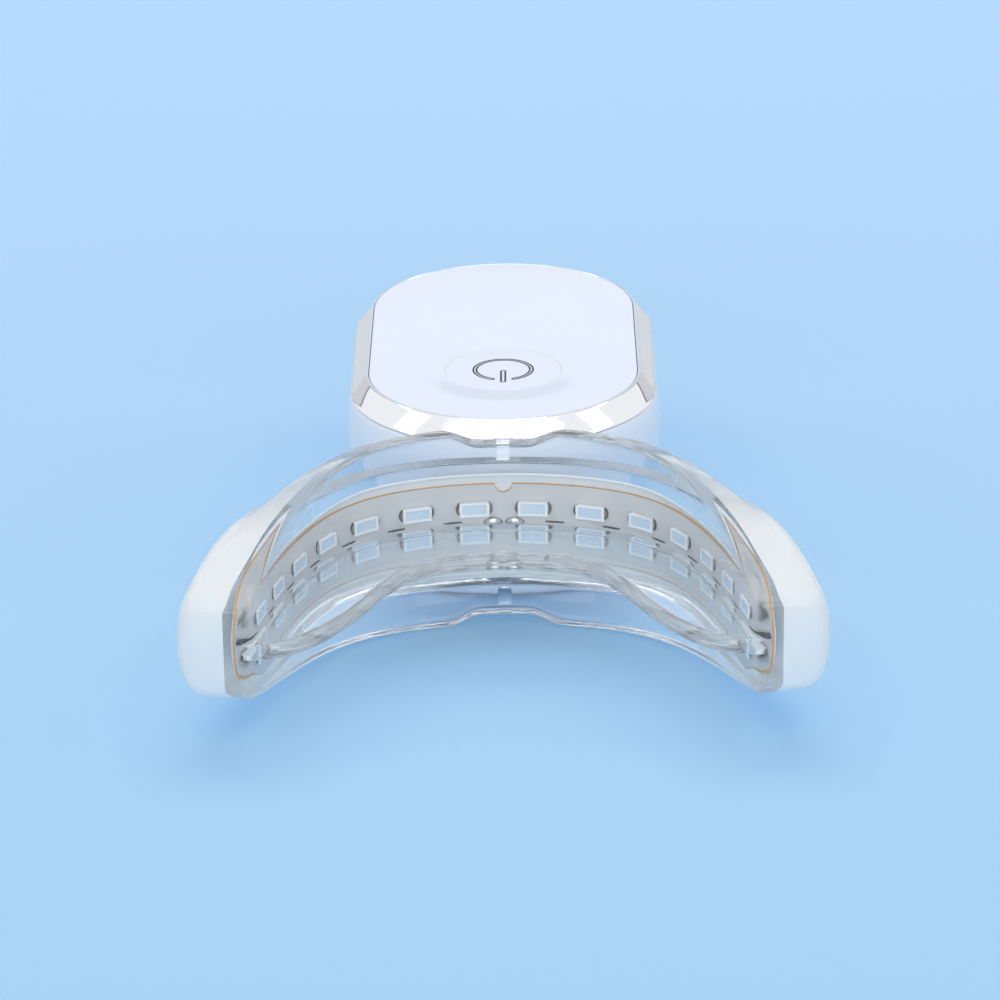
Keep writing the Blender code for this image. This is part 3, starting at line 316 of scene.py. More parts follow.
def on_arch(s, offset, height):
    """Point of the mouthpiece in the part's frame."""
    a = abs(s)
    x, y = float(np.interp(a, LENGTH, X)), float(np.interp(a, LENGTH, Y))
    h = float(np.interp(a, LENGTH, HEADING))
    past = max(0.0, a - float(LENGTH[-1]))
    x += past * math.cos(h) - offset * math.sin(h)
    y += past * math.sin(h) + offset * math.cos(h)
    return (x if s >= 0 else -x, y + TRAY_Y, height + TRAY_Z)


def arch_matrix(s, offset=0.0, height=0.0):
    """Frame at a place on the strip, in metres: X along it, Y away from the teeth."""
    h = float(np.interp(abs(s), LENGTH, HEADING)) * (1 if s >= 0 else -1)
    place = Vector(on_arch(s, offset, height)) * MM
    return Matrix.Translation(place) @ Matrix.Rotation(h, 4, "Z")


def ease(t):
    """Smooth step from 0 to 1."""
    t = min(1.0, max(0.0, t))
    return t * t * (3 - 2 * t)


# Arc length at the ends, half width of the lip notch, rim height beside it and at the ends.
TRAY_END, NOTCH, RIM, END_RIM = 46.4, 6.3, 10.7, 5.3
# Offset of the window face, half thickness of the bite plate.
WINDOW, PLATE = -2.0, 0.9


def rim_at(s):
    """Height of the flange rim, lower in the lip notch and towards the ends."""
    a = abs(s)
    if a < NOTCH:
        return RIM - 1.15 * (1 - ease((a / NOTCH - 0.42) / 0.58))
    return RIM - (RIM - END_RIM) * ((a - NOTCH) / (TRAY_END - NOTCH)) ** 2


def lesser(a, b, blend):
    """Smaller of two values, with a rounded change from one to the other."""
    return (a + b - math.sqrt((a - b) ** 2 + blend ** 2)) / 2


def shoulder(s):
    """0 in the middle of the arch, 1 near its thick ends."""
    return ease((abs(s) - 18.0) / 26.0)


def block_half(s):
    """Half height of the block behind the strip."""
    return lesser(6.8, rim_at(s) - (0.9 - 0.55 * shoulder(s)), 1.2)


def cap_half(s):
    """Half height of the outside of the block, which meets the rim at the ends."""
    low = block_half(s) + 0.1
    return low + shoulder(s) * (rim_at(s) - 0.03 - low)


def block_out(s, share, start):
    """Offset of the block's back at a share of its half height."""
    swell = ease((abs(s) - 8.0) / (TRAY_END - 8.0))
    power = 6.0 - 3.7 * swell
    return start + (3.0 + 3.0 * swell - start) * max(0.0, 1 - share ** power) ** (1 / power)


# Points of tray_section before the block starts, and those of them on the cloudy outer side.
FLANGE_POINTS, CLOUDY_POINTS = 34, 8


def tray_section(s):
    """Outline round the mouthpiece: bite plate, window face, rim, flange back and block."""
    u = min(1.0, abs(s) / TRAY_END)
    reach = max(0.5, 8.9 * (1 - u ** 6.0) ** (1 / 1.7))
    nose, fillet = min(0.9, 0.45 * reach), min(0.5, 0.4 * reach)
    beside = min(0.15, 0.03 * reach)
    rim, back, half = rim_at(s), 0.4 + 3.0 * shoulder(s), cap_half(s)
    corner = lesser(0.6, (rim - half) / 2, 0.1)
    tooth = 0.6 + 0.6 * ease((abs(s) - 38.0) / (TRAY_END - 38.0))
    upper = [(WINDOW - reach + nose * (1 - math.cos(a)), PLATE * math.sin(a)) for a in quarter(7)]
    upper += [(WINDOW - reach + nose + beside, PLATE), (WINDOW - fillet - beside, PLATE)]
    upper += [(WINDOW - fillet * (1 - math.sin(a)), PLATE + fillet * (1 - math.cos(a)))
              for a in quarter(5)]
    upper += [(WINDOW, PLATE + fillet + 0.15), (WINDOW, rim - tooth - 0.15)]
    upper += [(WINDOW + tooth * (1 - math.cos(a)), rim - tooth * (1 - math.sin(a)))
              for a in quarter(7)]
    upper.append((0.72 * (tooth + WINDOW) + 0.28 * (back - corner), rim))
    upper += [(back - corner * (1 - math.sin(a)), rim - corner * (1 - math.cos(a)))
              for a in quarter(6)]
    valley = max(0.01, lesser(0.5, rim - corner - half, 0.1))
    upper += [(back + valley * (1 - math.cos(a)), half + valley * (1 - math.sin(a)))
              for a in quarter(5)[1:]]
    for share in np.cos(np.linspace(0.0, math.pi / 2 * 0.985, 18))[1:]:
        upper.append((block_out(s, float(share), back + valley), half * float(share)))
    return upper + [(d, -z) for d, z in reversed(upper[1:])]


def shrunk(section, amount):
    """Section made smaller by an amount all round."""
    offsets = [d for d, z in section]
    middle = (max(offsets) + min(offsets)) / 2
    across = 1 - 2 * amount / (max(offsets) - min(offsets))
    along = 1 - amount / max(z for d, z in section)
    return [(middle + (d - middle) * across, z * along) for d, z in section]


def places(last, step):
    """Even places on both sides of the middle."""
    count = max(2, round(last / step))
    return [last * i / count for i in range(-count, count + 1)]


# Clear mouthpiece

# Length and depth of the rounding at the ends of the mouthpiece.
END_ROUND, END_SHRINK = 2.4, 1.3
# The neck is a stadium: half length of its flat part, and its radius.
NECK_FLAT, NECK_RADIUS = 3.6, 3.4


def make_mouthpiece():
    """One clear body: mouthpiece, closed ends, neck, and the ribs and groove in the middle."""
    straight = TRAY_END - END_ROUND
    rings = [[on_arch(s, d, z) for d, z in tray_section(s)] for s in places(straight, 0.4)]
    for a in quarter(6)[1:]:
        s = straight + END_ROUND * math.sin(a)
        section = shrunk(tray_section(s), END_SHRINK * (1 - math.cos(a)))
        rings.append([on_arch(s, d, z) for d, z in section])
        rings.insert(0, [on_arch(-s, d, z) for d, z in section])
    verts, faces = skin(rings)
    count = len(rings[0])
    faces = faces[:-2]
    for base in (0, count * (len(rings) - 1)):
        pairs = [(base + i, base + (count - i) % count) for i in range(count // 2 + 1)]
        for (a, b), (c, d) in zip(pairs, pairs[1:]):
            faces.append((a, c, d) if a == b else (a, c, d, b) if c != d else (a, c, b))
    index = []
    for face in faces:
        places_round = [min(i % count, count - i % count) for i in face]
        index.append(1 if min(places_round) >= FLANGE_POINTS - CLOUDY_POINTS else 0)
    outer = mesh_of(verts, faces, [CLEAR, MILKY], index)
    grooved = ((1.5, 0.0), (8.7, 0.0), (8.7, 0.7), (9.9, 0.7), (9.9, 0.0), (10.8, 0.0))
    neck_rings = [flat_ring(NECK_FLAT, NECK_RADIUS - inset, TRAY_Y + y, TRAY_Z)
                  for y, inset in grooved]
    neck = mesh_of(*skin(neck_rings), [CLEAR, MILKY])
    ribs = []
    for side in (-1, 1):
        low, high = sorted((side * 7.2, side * 9.0))
        ribs.append((box((-0.65, TRAY_Y + 0.1, TRAY_Z + low), (0.65, TRAY_Y + 1.3, TRAY_Z + high),
                         [CLEAR, MILKY]), "UNION"))
    ribs.append((box((-0.65, TRAY_Y - 3.0, TRAY_Z - 5.9), (0.65, TRAY_Y - 1.7, TRAY_Z - 4.2),
                     [CLEAR, MILKY]), "DIFFERENCE"))
    whole = combine(outer, [(neck, "UNION")] + ribs)
    piece("mouthpiece_clear", whole, stands_for=("tray_front", "tray_back"))


# LED strip

# Half height of the strip, arc length at its ends, radius of its middle notches.
STRIP_HALF, STRIP_END, STRIP_NOTCH = 4.78, 44.6, 0.93


def make_strip():
    """White flexible circuit with amber cut edges, middle notches and round ends."""
    columns = []
    for a in quarter(8):
        columns.append((STRIP_NOTCH * math.sin(a), STRIP_HALF - STRIP_NOTCH * math.cos(a)))
    start = STRIP_END - STRIP_HALF
    columns += [(float(s), STRIP_HALF) for s in np.linspace(STRIP_NOTCH, start, 60)[1:]]
    columns += [(start + STRIP_HALF * math.sin(a), STRIP_HALF * math.cos(a))
                for a in quarter(12)[1:-1]]
    columns = [(-s, z) for s, z in columns[:0:-1]] + columns
    rings = []
    for s, z in columns:
        edge = min(z / 2, 0.12 + 0.12 * ease((abs(s) - 14.0) / 12.0) * ease((40.0 - abs(s)) / 8.0))
        section = ((0.0, edge - z), (0.0, z - edge), (0.0, z - 0.02), (0.03, z), (0.17, z),
                   (0.2, z - 0.02), (0.2, -z + 0.02), (0.17, -z), (0.03, -z), (0.0, 0.02 - z))
        rings.append([on_arch(s, d, h) for d, h in section])
    verts, faces = skin(rings)
    side = [0, 1, 1, 1, 1, 0, 1, 1, 1, 1]
    index = side * (len(rings) - 1) + [1, 1]
    piece("strip_circuit", mesh_of(verts, faces, [MASK, AMBER], index),
          stands_for=("led_strip",))


def make_slot_edges():
    """White glue that fills the slot over and under the strip, and along its edge a thin rounded
    white bead that is a painted highlight line.
    """
    for name, side in (("upper", 1), ("lower", -1)):
        highlight_line, fill = [], []
        for s in places(38.0, 0.6):
            top = 5.2 + 0.5 * ease((26.0 - abs(s)) / 12.0)
            fade = ease((38.3 - abs(s)) / 4.0)
            width = 0.15 * fade + 0.01
            # The bead is a painted highlight: a thin white line along the slot's edge, narrowing
            # to nothing near the ends.
            highlight_line.append([on_arch(s, 0.05 + width * math.cos(a), side * (top + width * math.sin(a)))
                         for a in turn(8)])
            low, high = 3.6, max(3.7, 4.6 + (top - 4.6) * fade)
            fill.append([on_arch(s, d, side * z)
                         for d, z in ((0.21, low), (0.21, high), (0.26, high), (0.26, low))])
        piece(f"slot_highlight_line_{name}", mesh_of(*skin(highlight_line), [FILM_AND_HIGHLIGHT]))
        piece(f"slot_glue_{name}", mesh_of(*skin(fill), [FILM_AND_HIGHLIGHT]))


def led_mesh():
    """LED package with a lens in its recess, rounded solder fillets at both ends and a thin dark
    arc just outside each fillet, painted shade along the fillet's edge.
    """
    parts = []
    outline = [(-1.5, -0.7), (1.5, -0.7), (1.5, 0.7), (-1.5, 0.7)]
    window = [(-1.26, -0.52), (1.26, -0.52), (1.26, 0.52), (-1.26, 0.52)]

    def at(points, y, grow=0.0):
        return [(x + math.copysign(grow, x), y, z + math.copysign(grow, z)) for x, z in points]

    rings = [at(outline, 0.0), at(outline, -0.74), at(outline, -0.8, -0.06),
             at(window, -0.8, 0.05), at(window, -0.76), at(window, -0.52, -0.08)]
    verts, faces = skin(rings)
    parts.append((verts, faces, 0))
    rings = [at(window, -0.53, -0.1), at(window, -0.66, -0.04), at(window, -0.68, -0.12)]
    verts, faces = skin(rings)
    parts.append((verts, faces, 1))
    for side in (-1, 1):
        rings = []
        for grow, y in ((0.0, 0.0), (0.0, -0.16), (-0.1, -0.34), (-0.3, -0.46)):
            ring = []
            for i in range(13):
                a = -math.pi / 2 + math.pi * i / 12
                ring.append((side * (1.47 + (0.34 + grow * 0.8) * math.cos(a)), y,
                             (0.56 + grow * 0.35) * math.sin(a)))
            ring.append((side * 1.42, y, 0.56 + grow * 0.35))
            ring.append((side * 1.42, y, -0.56 - grow * 0.35))
            rings.append(ring)
        verts, faces = skin(rings)
        parts.append((verts, faces, 2))
    # Dark arcs just outside the fillets: painted shade along the fillets' edges.
    for side in (-1, 1):
        arc = [math.radians(a) for a in range(-66, 67, 12)]
        rings = [[(side * (1.25 + r * math.cos(a)), y, 1.12 * r * math.sin(a)) for r, y in
                  ((0.62, -0.02), (0.69, -0.02), (0.69, -0.2), (0.62, -0.2))] for a in arc]
        verts, faces = skin(rings)
        parts.append((verts, faces, 3))
    all_verts, all_faces, index = [], [], []
    for verts, faces, mat in parts:
        base = len(all_verts)
        all_verts += verts
        all_faces += [tuple(base + i for i in face) for face in faces]
        index += [mat] * len(faces)
    return mesh_of(all_verts, all_faces, [PACKAGE, LENS, TIN, DARK_EDGE_AND_SHADE], index, angle=30.0)


# Step between the LEDs, height of their two rows, and their places along the strip.
LED_STEP, LED_ROW = 6.3, 2.1
LED_S = [(i - 6.5) * LED_STEP for i in range(14)]


def placed(mesh, matrix):
    """Copy of a mesh, moved to its place so that its object stays at the origin."""
    copy = mesh.copy()
    copy.transform(matrix)
    return copy


def make_leds():
    """28 packages in two rows."""
    mesh = led_mesh()
    for row, height in (("upper", LED_ROW), ("lower", -LED_ROW)):
        for i, s in enumerate(LED_S):
            name = f"led_{row}_{i + 1:02d}"
            piece(name + "_look", placed(mesh, arch_matrix(s, -0.14, height)),
                  stands_for=(name,))


def make_strip_parts():
    """Chip resistors with their metal ends, and the two solder domes with their rims."""
    chip = box((-0.55, -0.32, -0.17), (0.55, 0.0, 0.17), [CHIP])
    for i, s in enumerate(LED_S):
        out = s + math.copysign(2.3, s)
        matrix = arch_matrix(out, -0.05, 0.3)
        piece(f"strip_resistor_{i + 1:02d}", placed(chip, matrix))
        for k, side in enumerate((-1, 1)):
            end = box((side * 0.76 - 0.2, -0.3, -0.15), (side * 0.76 + 0.2, 0.0, 0.15), [DARK_EDGE_AND_SHADE])
            piece(f"strip_resistor_{i + 1:02d}_end_{k + 1}", placed(end, matrix))
    for side, name in ((-1, "left"), (1, "right")):
        rings = []
        for a in quarter(10)[:-1]:
            rings.append([(0.95 * math.cos(a) * math.cos(t), -0.5 * math.sin(a),
                           0.95 * math.cos(a) * math.sin(t)) for t in turn(40)])
        foot = [[(r * math.cos(t), y, r * math.sin(t)) for t in turn(40)]
                for r, y in ((0.9, 0.0), (1.02, 0.0), (1.02, -0.08), (0.9, -0.08))]
        rim = mesh_of(*skin(foot, closed=True), [DARK_EDGE_AND_SHADE])
        piece(f"solder_rim_{name}", placed(rim, arch_matrix(side * 1.16, -0.04, 0.0)))
        dome = mesh_of(*skin(rings), [SOLDER])
        piece(f"solder_dome_{name}", placed(dome, arch_matrix(side * 1.16, -0.04, 0.0)),
              stands_for=(f"solder_joint_{name}",))


# Body

# Half length of the straight sides, half width, and the heights of the widest place and the rim.
HALF_STRAIGHT, HALF_WIDTH, BELLY, RIM_Z = 10.05, 16.8, 14.5, 17.8
# Wall thickness, radius of the neck opening, half flat and radius of the socket opening.
WALL, NECK_HOLE, SOCKET_FLAT, SOCKET_RADIUS = 1.6, 3.55, 2.84, 1.93


def stadium(half, z, steps=48):
    """Ring round a stadium that is long in Y."""
    ring = []
    for end in (1, -1):
        for i in range(steps + 1):
            a = math.pi * i / steps + (0 if end > 0 else math.pi)
            ring.append((half * math.cos(a), half * math.sin(a) + end * HALF_STRAIGHT, z))
    return ring


def plan(profile, closed=True, steps=48):
    """Loft of stadiums over (half width, height) points."""
    return skin([stadium(half, z, steps) for half, z in profile], closed)


def body_half(z):
    """Half width of the body at a height."""
    if z < BELLY:
        u = (BELLY - z) / BELLY
        return HALF_WIDTH - 6.0 * (1 - max(0.0, 1 - u ** 2.2) ** (1 / 2.2))
    return HALF_WIDTH - 0.45 * ((z - BELLY) / (RIM_Z - BELLY)) ** 2


def make_housing():
    """Cup with the same outside as the solid one, finer, with its two openings."""
    heights = [BELLY * (1 - math.sin(a)) for a in np.linspace(math.pi / 2, 0, 22)]
    heights += list(np.linspace(BELLY, RIM_Z - 0.2, 8)[1:])
    profile = [(body_half(z), z) for z in heights]
    top = body_half(RIM_Z)
    profile += [(top - 0.03, RIM_Z - 0.07), (top - 0.12, RIM_Z), (top - WALL, RIM_Z)]
    profile += [(body_half(z) - WALL, z) for z in list(reversed(heights)) if z > WALL + 0.1]
    profile.append((body_half(WALL) - WALL, WALL))
    shell = mesh_of(*plan(profile, closed=False), [WHITE])
    neck = [flat_ring(NECK_FLAT, NECK_HOLE, y, TRAY_Z) for y in (-28.0, -20.0)]
    low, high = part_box("charging_socket")
    middle = (low.z + high.z) / 2 / MM
    mouth = [flat_ring(SOCKET_FLAT, SOCKET_RADIUS, y, middle) for y in (22.0, 28.0)]
    whole = combine(shell, [(mesh_of(*skin(neck), [WHITE]), "DIFFERENCE"),
                            (mesh_of(*skin(mouth), [WHITE]), "DIFFERENCE")])
    piece("housing_shell", whole, stands_for=("housing",))


def make_ring():
    """Polished ring with a slightly crowned bevel and softened edges."""
    low, outer, inner, top = 17.9, 16.35, 14.45, 20.1
    profile = [(outer - 0.05, low), (outer, low + 0.05)]
    for k in range(1, 16):
        t = k / 16
        swell = 0.03 * math.sin(math.pi * t)
        profile.append((outer - 1.9 * t + swell, low + 2.2 * t + swell))
    profile += [(inner + 0.1, top - 0.02), (inner + 0.04, top - 0.01), (inner, top - 0.06)]
    profile += [(inner, 18.27), (12.9, 18.27), (12.9, 17.57), (13.6, 17.57), (13.6, 16.3),
                (14.6, 16.3), (14.6, low)]
    piece("ring_polished", mesh_of(*plan(profile, steps=64), [CHROME], angle=40),
          stands_for=("chrome_ring",))


# Centre and radius of the button, heights of the panel's and the button's faces.
BUTTON_Y, BUTTON_R, PANEL_TOP, BUTTON_TOP = -8.4, 6.3, 20.1, 19.55
# Depth of the dish, its width on the far side, and how much wider it is on the near side.
DISH, DISH_FAR, DISH_NEAR = 0.55, 2.73, 2.4


def make_panel():
    """Glossy panel: softened edge, soft dish and the round opening."""
    half, bottom, top = 14.39, 18.5, PANEL_TOP
    profile = [(half - 0.05, bottom), (half, bottom + 0.05), (half, top - 0.12)]
    profile += [(half - 0.12 * (1 - math.cos(a)), top - 0.12 * (1 - math.sin(a)))
                for a in quarter(6)[1:]]
    slab = mesh_of(*plan(profile, closed=False, steps=64), [PANEL])
    rings = []
    hole = BUTTON_R + 0.015
    shares = [1.2] + [1 - t for t in np.linspace(0, 1, 20)] + [0.0]
    depths = [-DISH * (1 - (1 - t ** 1.6) ** 1.3) for t in np.linspace(0, 1, 20)]
    depths = [1.0] + depths + [-3.0]
    for share, depth in zip(shares, depths):
        ring = []
        for t in turn(96):
            radius = hole + share * (DISH_FAR + DISH_NEAR * ((1 - math.sin(t)) / 2) ** 1.5)
            ring.append((radius * math.cos(t), BUTTON_Y + radius * math.sin(t), top + depth))
        rings.append(ring)
    dish = mesh_of(*skin(rings), [PANEL])
    piece("panel_dished", combine(slab, [(dish, "DIFFERENCE")]),
          stands_for=("top_panel",))


def turned(profile, centre):
    """Closed solid turned about an upright axis; the profile runs from top to bottom."""
    rings = [[(centre[0] + max(r, 0.001) * math.cos(t), centre[1] + max(r, 0.001) * math.sin(t), z)
              for t in turn(96)] for r, z in profile]
    return skin(rings)


def band(path, width, z, thickness):
    """Thin flat band along a path of (x, y) points, as one closed solid."""
    rings = []
    for i, (x, y) in enumerate(path):
        a, b = path[max(0, i - 1)], path[min(len(path) - 1, i + 1)]
        t = math.atan2(b[1] - a[1], b[0] - a[0])
        nx, ny = -math.sin(t) * width / 2, math.cos(t) * width / 2
        rings.append([(x + nx, y + ny, z), (x - nx, y - ny, z),
                      (x - nx, y - ny, z + thickness), (x + nx, y + ny, z + thickness)])
    return skin(rings)


def stroke_outline(centre_line, width):
    """Outline of a stroke about a centre line, closed on itself."""
    left, right = [], []
    for i, (x, y) in enumerate(centre_line):
        a = centre_line[max(0, i - 1)]
        b = centre_line[min(len(centre_line) - 1, i + 1)]
        t = math.atan2(b[1] - a[1], b[0] - a[0])
        left.append((x - math.sin(t) * width / 2, y + math.cos(t) * width / 2))
        right.append((x + math.sin(t) * width / 2, y - math.cos(t) * width / 2))
    return left + right[::-1] + left[:1]


def make_button():
    """Glossy button with the outlined power symbol on its face."""
    top, flange = BUTTON_TOP, BUTTON_R + 0.8
    profile = [(0.0, top)]
    profile += [(BUTTON_R - 0.03 * (1 - math.sin(a)), top - 0.03 * (1 - math.cos(a)))
                for a in quarter(5)]
    profile += [(BUTTON_R, 18.35), (flange, 18.35), (flange, 17.55), (1.6, 17.55), (1.6, 16.65),
                (0.0, 16.65)]
    piece("button_cap", mesh_of(*turned(profile, (0.0, BUTTON_Y)), [BUTTON]), "button",
          stands_for=("power_button",))
    gap = math.radians(19)
    arc = [(3.05 * math.cos(t), BUTTON_Y + 3.05 * math.sin(t))
           for t in np.linspace(-math.pi / 2 + gap, 1.5 * math.pi - gap, 90)]
    bar = [(0.0, BUTTON_Y + y) for y in np.linspace(-3.75, -0.35, 12)]
    for name, line, width in (("ring", arc, 0.34), ("bar", bar, 0.46)):
        outline = stroke_outline(line, width)
        verts, faces = band(outline, 0.2, top, 0.012)
        piece(f"power_symbol_{name}", mesh_of(verts, faces, [INK]), "button")


def make_socket_detail():
    """Gold contact strips on both faces of the tongue."""
    low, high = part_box("socket_tongue")
    x0, x1 = low.x / MM, high.x / MM
    z_mid = (low.z + high.z) / 2 / MM
    half = (high.z - low.z) / 2 / MM
    y1 = high.y / MM
    pitch = (x1 - x0 - 0.9) / 12
    for side in (-1, 1):
        for i in range(12):
            x = x0 + 0.45 + (i + 0.5) * pitch
            z = sorted((z_mid + side * half, z_mid + side * (half + 0.03)))
            piece(f"contact_{'upper' if side > 0 else 'lower'}_{i + 1:02d}",
                  box((x - 0.14, y1 - 3.6, z[0]), (x + 0.14, y1 - 0.35, z[1]), [GOLD]))


make_mouthpiece()
make_strip()
make_slot_edges()
make_leds()
make_strip_parts()
make_housing()
make_ring()
make_panel()
make_button()
make_socket_detail()


# Floor, light and camera

def floor_material():
    """Pale blue paper, deeper towards the front, fading to white far away, and sooner in
    reflections off metal and gloss: a painted reflection.
    """
    mat = bpy.data.materials.new("floor_paper")
    mat.use_nodes = True
    tree = mat.node_tree
    shader = tree.nodes["Principled BSDF"]
    place = tree.nodes.new("ShaderNodeTexCoord")
    split = tree.nodes.new("ShaderNodeSeparateXYZ")
    tree.links.new(place.outputs["Object"], split.inputs["Vector"])
    along = tree.nodes.new("ShaderNodeMapRange")
    along.inputs["From Min"].default_value = -0.16
    along.inputs["From Max"].default_value = 0.16
    tree.links.new(split.outputs["Y"], along.inputs["Value"])
    near = tree.nodes.new("ShaderNodeMix")
    near.data_type = "RGBA"
    near.inputs["A"].default_value = (*linear((0.660, 0.822, 0.946)), 1)
    near.inputs["B"].default_value = (*linear((0.712, 0.850, 0.972)), 1)
    tree.links.new(along.outputs["Result"], near.inputs["Factor"])
    length = tree.nodes.new("ShaderNodeVectorMath")
    length.operation = "LENGTH"
    tree.links.new(place.outputs["Object"], length.inputs[0])
    fade = tree.nodes.new("ShaderNodeMapRange")
    fade.inputs["From Min"].default_value = 0.235
    fade.inputs["From Max"].default_value = 0.29
    # Glossy rays see the pale far colour from about 0.095 m on, the camera from 0.235 m: painted
    # reflection in metal and gloss.
    rays = tree.nodes.new("ShaderNodeLightPath")
    sooner = tree.nodes.new("ShaderNodeMath")
    sooner.operation = "MULTIPLY_ADD"
    sooner.inputs[1].default_value = 0.14
    tree.links.new(rays.outputs["Is Glossy Ray"], sooner.inputs[0])
    tree.links.new(length.outputs["Value"], sooner.inputs[2])
    tree.links.new(sooner.outputs["Value"], fade.inputs["Value"])
    far = tree.nodes.new("ShaderNodeMix")
    far.data_type = "RGBA"
    far.inputs["B"].default_value = (*linear((0.87, 0.88, 0.89)), 1)
    tree.links.new(fade.outputs["Result"], far.inputs["Factor"])
    tree.links.new(near.outputs["Result"], far.inputs["A"])
    fibre = tree.nodes.new("ShaderNodeTexNoise")
    fibre.inputs["Scale"].default_value = 900.0
    tree.links.new(place.outputs["Object"], fibre.inputs["Vector"])
    bump = tree.nodes.new("ShaderNodeBump")
    bump.inputs["Strength"].default_value = 0.03
    bump.inputs["Distance"].default_value = 0.05 * MM
    tree.links.new(fibre.outputs["Fac"], bump.inputs["Height"])
    tree.links.new(bump.outputs["Normal"], shader.inputs["Normal"])
    tree.links.new(far.outputs["Result"], shader.inputs["Base Color"])
    shader.inputs["Roughness"].default_value = 0.85
    shader.inputs["Specular IOR Level"].default_value = 0.2
    return mat


FLOOR_RADIUS = 900.0
disc = [(FLOOR_RADIUS * math.cos(t), FLOOR_RADIUS * math.sin(t), 0.0)
        for t in turn(64)]
floor = bpy.data.objects.new("floor", mesh_of(disc, [tuple(range(64))], [floor_material()]))
bpy.context.scene.collection.objects.link(floor)
floor.location.z = -0.0002

world = bpy.data.worlds.new("studio")
bpy.context.scene.world = world
world.use_nodes = True


def studio_world():
    """Soft sky light; camera and metal see a studio with a bright top, glass a plain pale one."""
    tree = world.node_tree
    lit = tree.nodes["Background"]
    lit.inputs["Color"].default_value = (0.90, 0.95, 1.0, 1)
    lit.inputs["Strength"].default_value = 0.42
    place = tree.nodes.new("ShaderNodeTexCoord")
    split = tree.nodes.new("ShaderNodeSeparateXYZ")
    tree.links.new(place.outputs["Generated"], split.inputs["Vector"])
    ramp = tree.nodes.new("ShaderNodeValToRGB")
    ramp.color_ramp.elements[0].position = 0.17
    ramp.color_ramp.elements[0].color = (0.68, 0.69, 0.70, 1)
    ramp.color_ramp.elements[1].position = 0.20
    ramp.color_ramp.elements[1].color = (1.0, 1.0, 1.0, 1)
    for position, colour in ((0.175, (0.22, 0.24, 0.28, 1)), (0.19, (0.22, 0.24, 0.28, 1))):
        ramp.color_ramp.elements.new(position).color = colour
    tree.links.new(split.outputs["Z"], ramp.inputs["Fac"])
    seen = tree.nodes.new("ShaderNodeBackground")
    rays = tree.nodes.new("ShaderNodeLightPath")
    inside = tree.nodes.new("ShaderNodeMath")
    inside.operation = "GREATER_THAN"
    inside.inputs[1].default_value = 0.5
    tree.links.new(rays.outputs["Transmission Depth"], inside.inputs[0])
    through = tree.nodes.new("ShaderNodeMix")
    through.data_type = "RGBA"
    through.inputs["B"].default_value = (0.93, 0.96, 1.0, 1)
    tree.links.new(inside.outputs["Value"], through.inputs["Factor"])
    tree.links.new(ramp.outputs["Color"], through.inputs["A"])
    tree.links.new(through.outputs["Result"], seen.inputs["Color"])
    most = tree.nodes.new("ShaderNodeMath")
    most.operation = "MAXIMUM"
    tree.links.new(rays.outputs["Is Camera Ray"], most.inputs[0])
    tree.links.new(rays.outputs["Is Glossy Ray"], most.inputs[1])
    both = tree.nodes.new("ShaderNodeMath")
    both.operation = "MAXIMUM"
    tree.links.new(most.outputs["Value"], both.inputs[0])
    tree.links.new(rays.outputs["Is Transmission Ray"], both.inputs[1])
    direct = tree.nodes.new("ShaderNodeMath")
    direct.operation = "LESS_THAN"
    direct.inputs[1].default_value = 0.5
    tree.links.new(rays.outputs["Diffuse Depth"], direct.inputs[0])
    shown = tree.nodes.new("ShaderNodeMath")
    shown.operation = "MULTIPLY"
    tree.links.new(both.outputs["Value"], shown.inputs[0])
    tree.links.new(direct.outputs["Value"], shown.inputs[1])
    mix = tree.nodes.new("ShaderNodeMixShader")
    tree.links.new(shown.outputs["Value"], mix.inputs["Fac"])
    tree.links.new(lit.outputs["Background"], mix.inputs[1])
    tree.links.new(seen.outputs["Background"], mix.inputs[2])
    tree.links.new(mix.outputs["Shader"], tree.nodes["World Output"].inputs["Surface"])


studio_world()


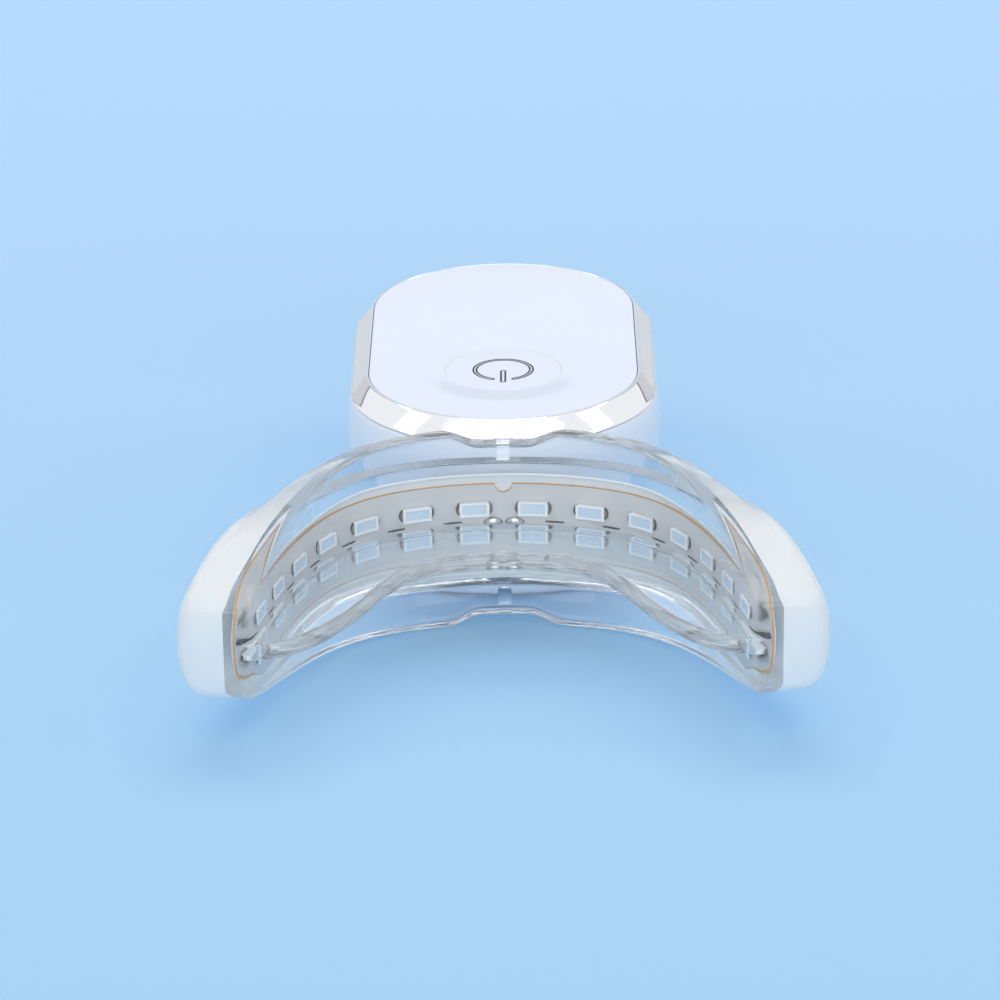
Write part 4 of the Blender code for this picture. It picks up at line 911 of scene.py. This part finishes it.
def softbox(name, at, aim, size, watts, seen=True):
    """Rectangular lamp; one that is not seen leaves no reflection."""
    lamp = bpy.data.lights.new(name, "AREA")
    lamp.shape = "RECTANGLE"
    lamp.size, lamp.size_y = size
    lamp.energy = watts
    obj = bpy.data.objects.new(name, lamp)
    obj.location = at
    obj.visible_glossy = seen
    obj.rotation_euler = (Vector(aim) - Vector(at)).to_track_quat("-Z", "Y").to_euler()
    bpy.context.scene.collection.objects.link(obj)


softbox("softbox_rear", (0.0, 0.55, 1.0), (0.0, 0.0, 0.0), (1.2, 0.7), 6.2, seen=False)
softbox("softbox_front", (0.0, -0.62, 0.95), (0.0, -0.01, 0.01), (1.5, 0.6), 2.4)
softbox("card_front", (0.0, -0.95, 0.22), (0.0, -0.03, 0.01), (1.3, 0.35), 3.3)
softbox("softbox_left", (-1.0, 0.0, 0.6), (0.0, 0.0, 0.0), (0.25, 0.9), 1.15)
softbox("softbox_right", (1.0, 0.0, 0.6), (0.0, 0.0, 0.0), (0.25, 0.9), 1.15)

# Camera fitted to the photo: distance in millimetres, and the place that it looks at.
CAMERA_DISTANCE, LOOK_AT = 473.5, Vector((-0.43, 6.42 + TRAY_Y, TRAY_Z))
elevation, yaw, roll = math.radians(22.26), math.radians(-0.50), math.radians(-0.91)
ce, se, cy, sy = math.cos(elevation), math.sin(elevation), math.cos(yaw), math.sin(yaw)
forward = Vector((ce * sy, ce * cy, -se))
right = Vector((cy, -sy, 0.0))
up = right.cross(forward)
right, up = (math.cos(roll) * right + math.sin(roll) * up,
             -math.sin(roll) * right + math.cos(roll) * up)
camera = bpy.data.objects.new("camera", bpy.data.cameras.new("camera"))
camera.data.lens = 162.0
camera.data.sensor_width = 36.0
camera.data.clip_start = 0.01
pose = Matrix((right, up, -forward)).transposed().to_4x4()
pose.translation = (LOOK_AT - forward * CAMERA_DISTANCE) * MM
camera.matrix_world = pose
bpy.context.scene.collection.objects.link(camera)
bpy.context.scene.camera = camera
bpy.context.scene.view_settings.view_transform = "Standard"
bpy.context.scene.cycles.max_bounces = 32
bpy.context.scene.cycles.glossy_bounces = 24
bpy.context.scene.cycles.transmission_bounces = 32
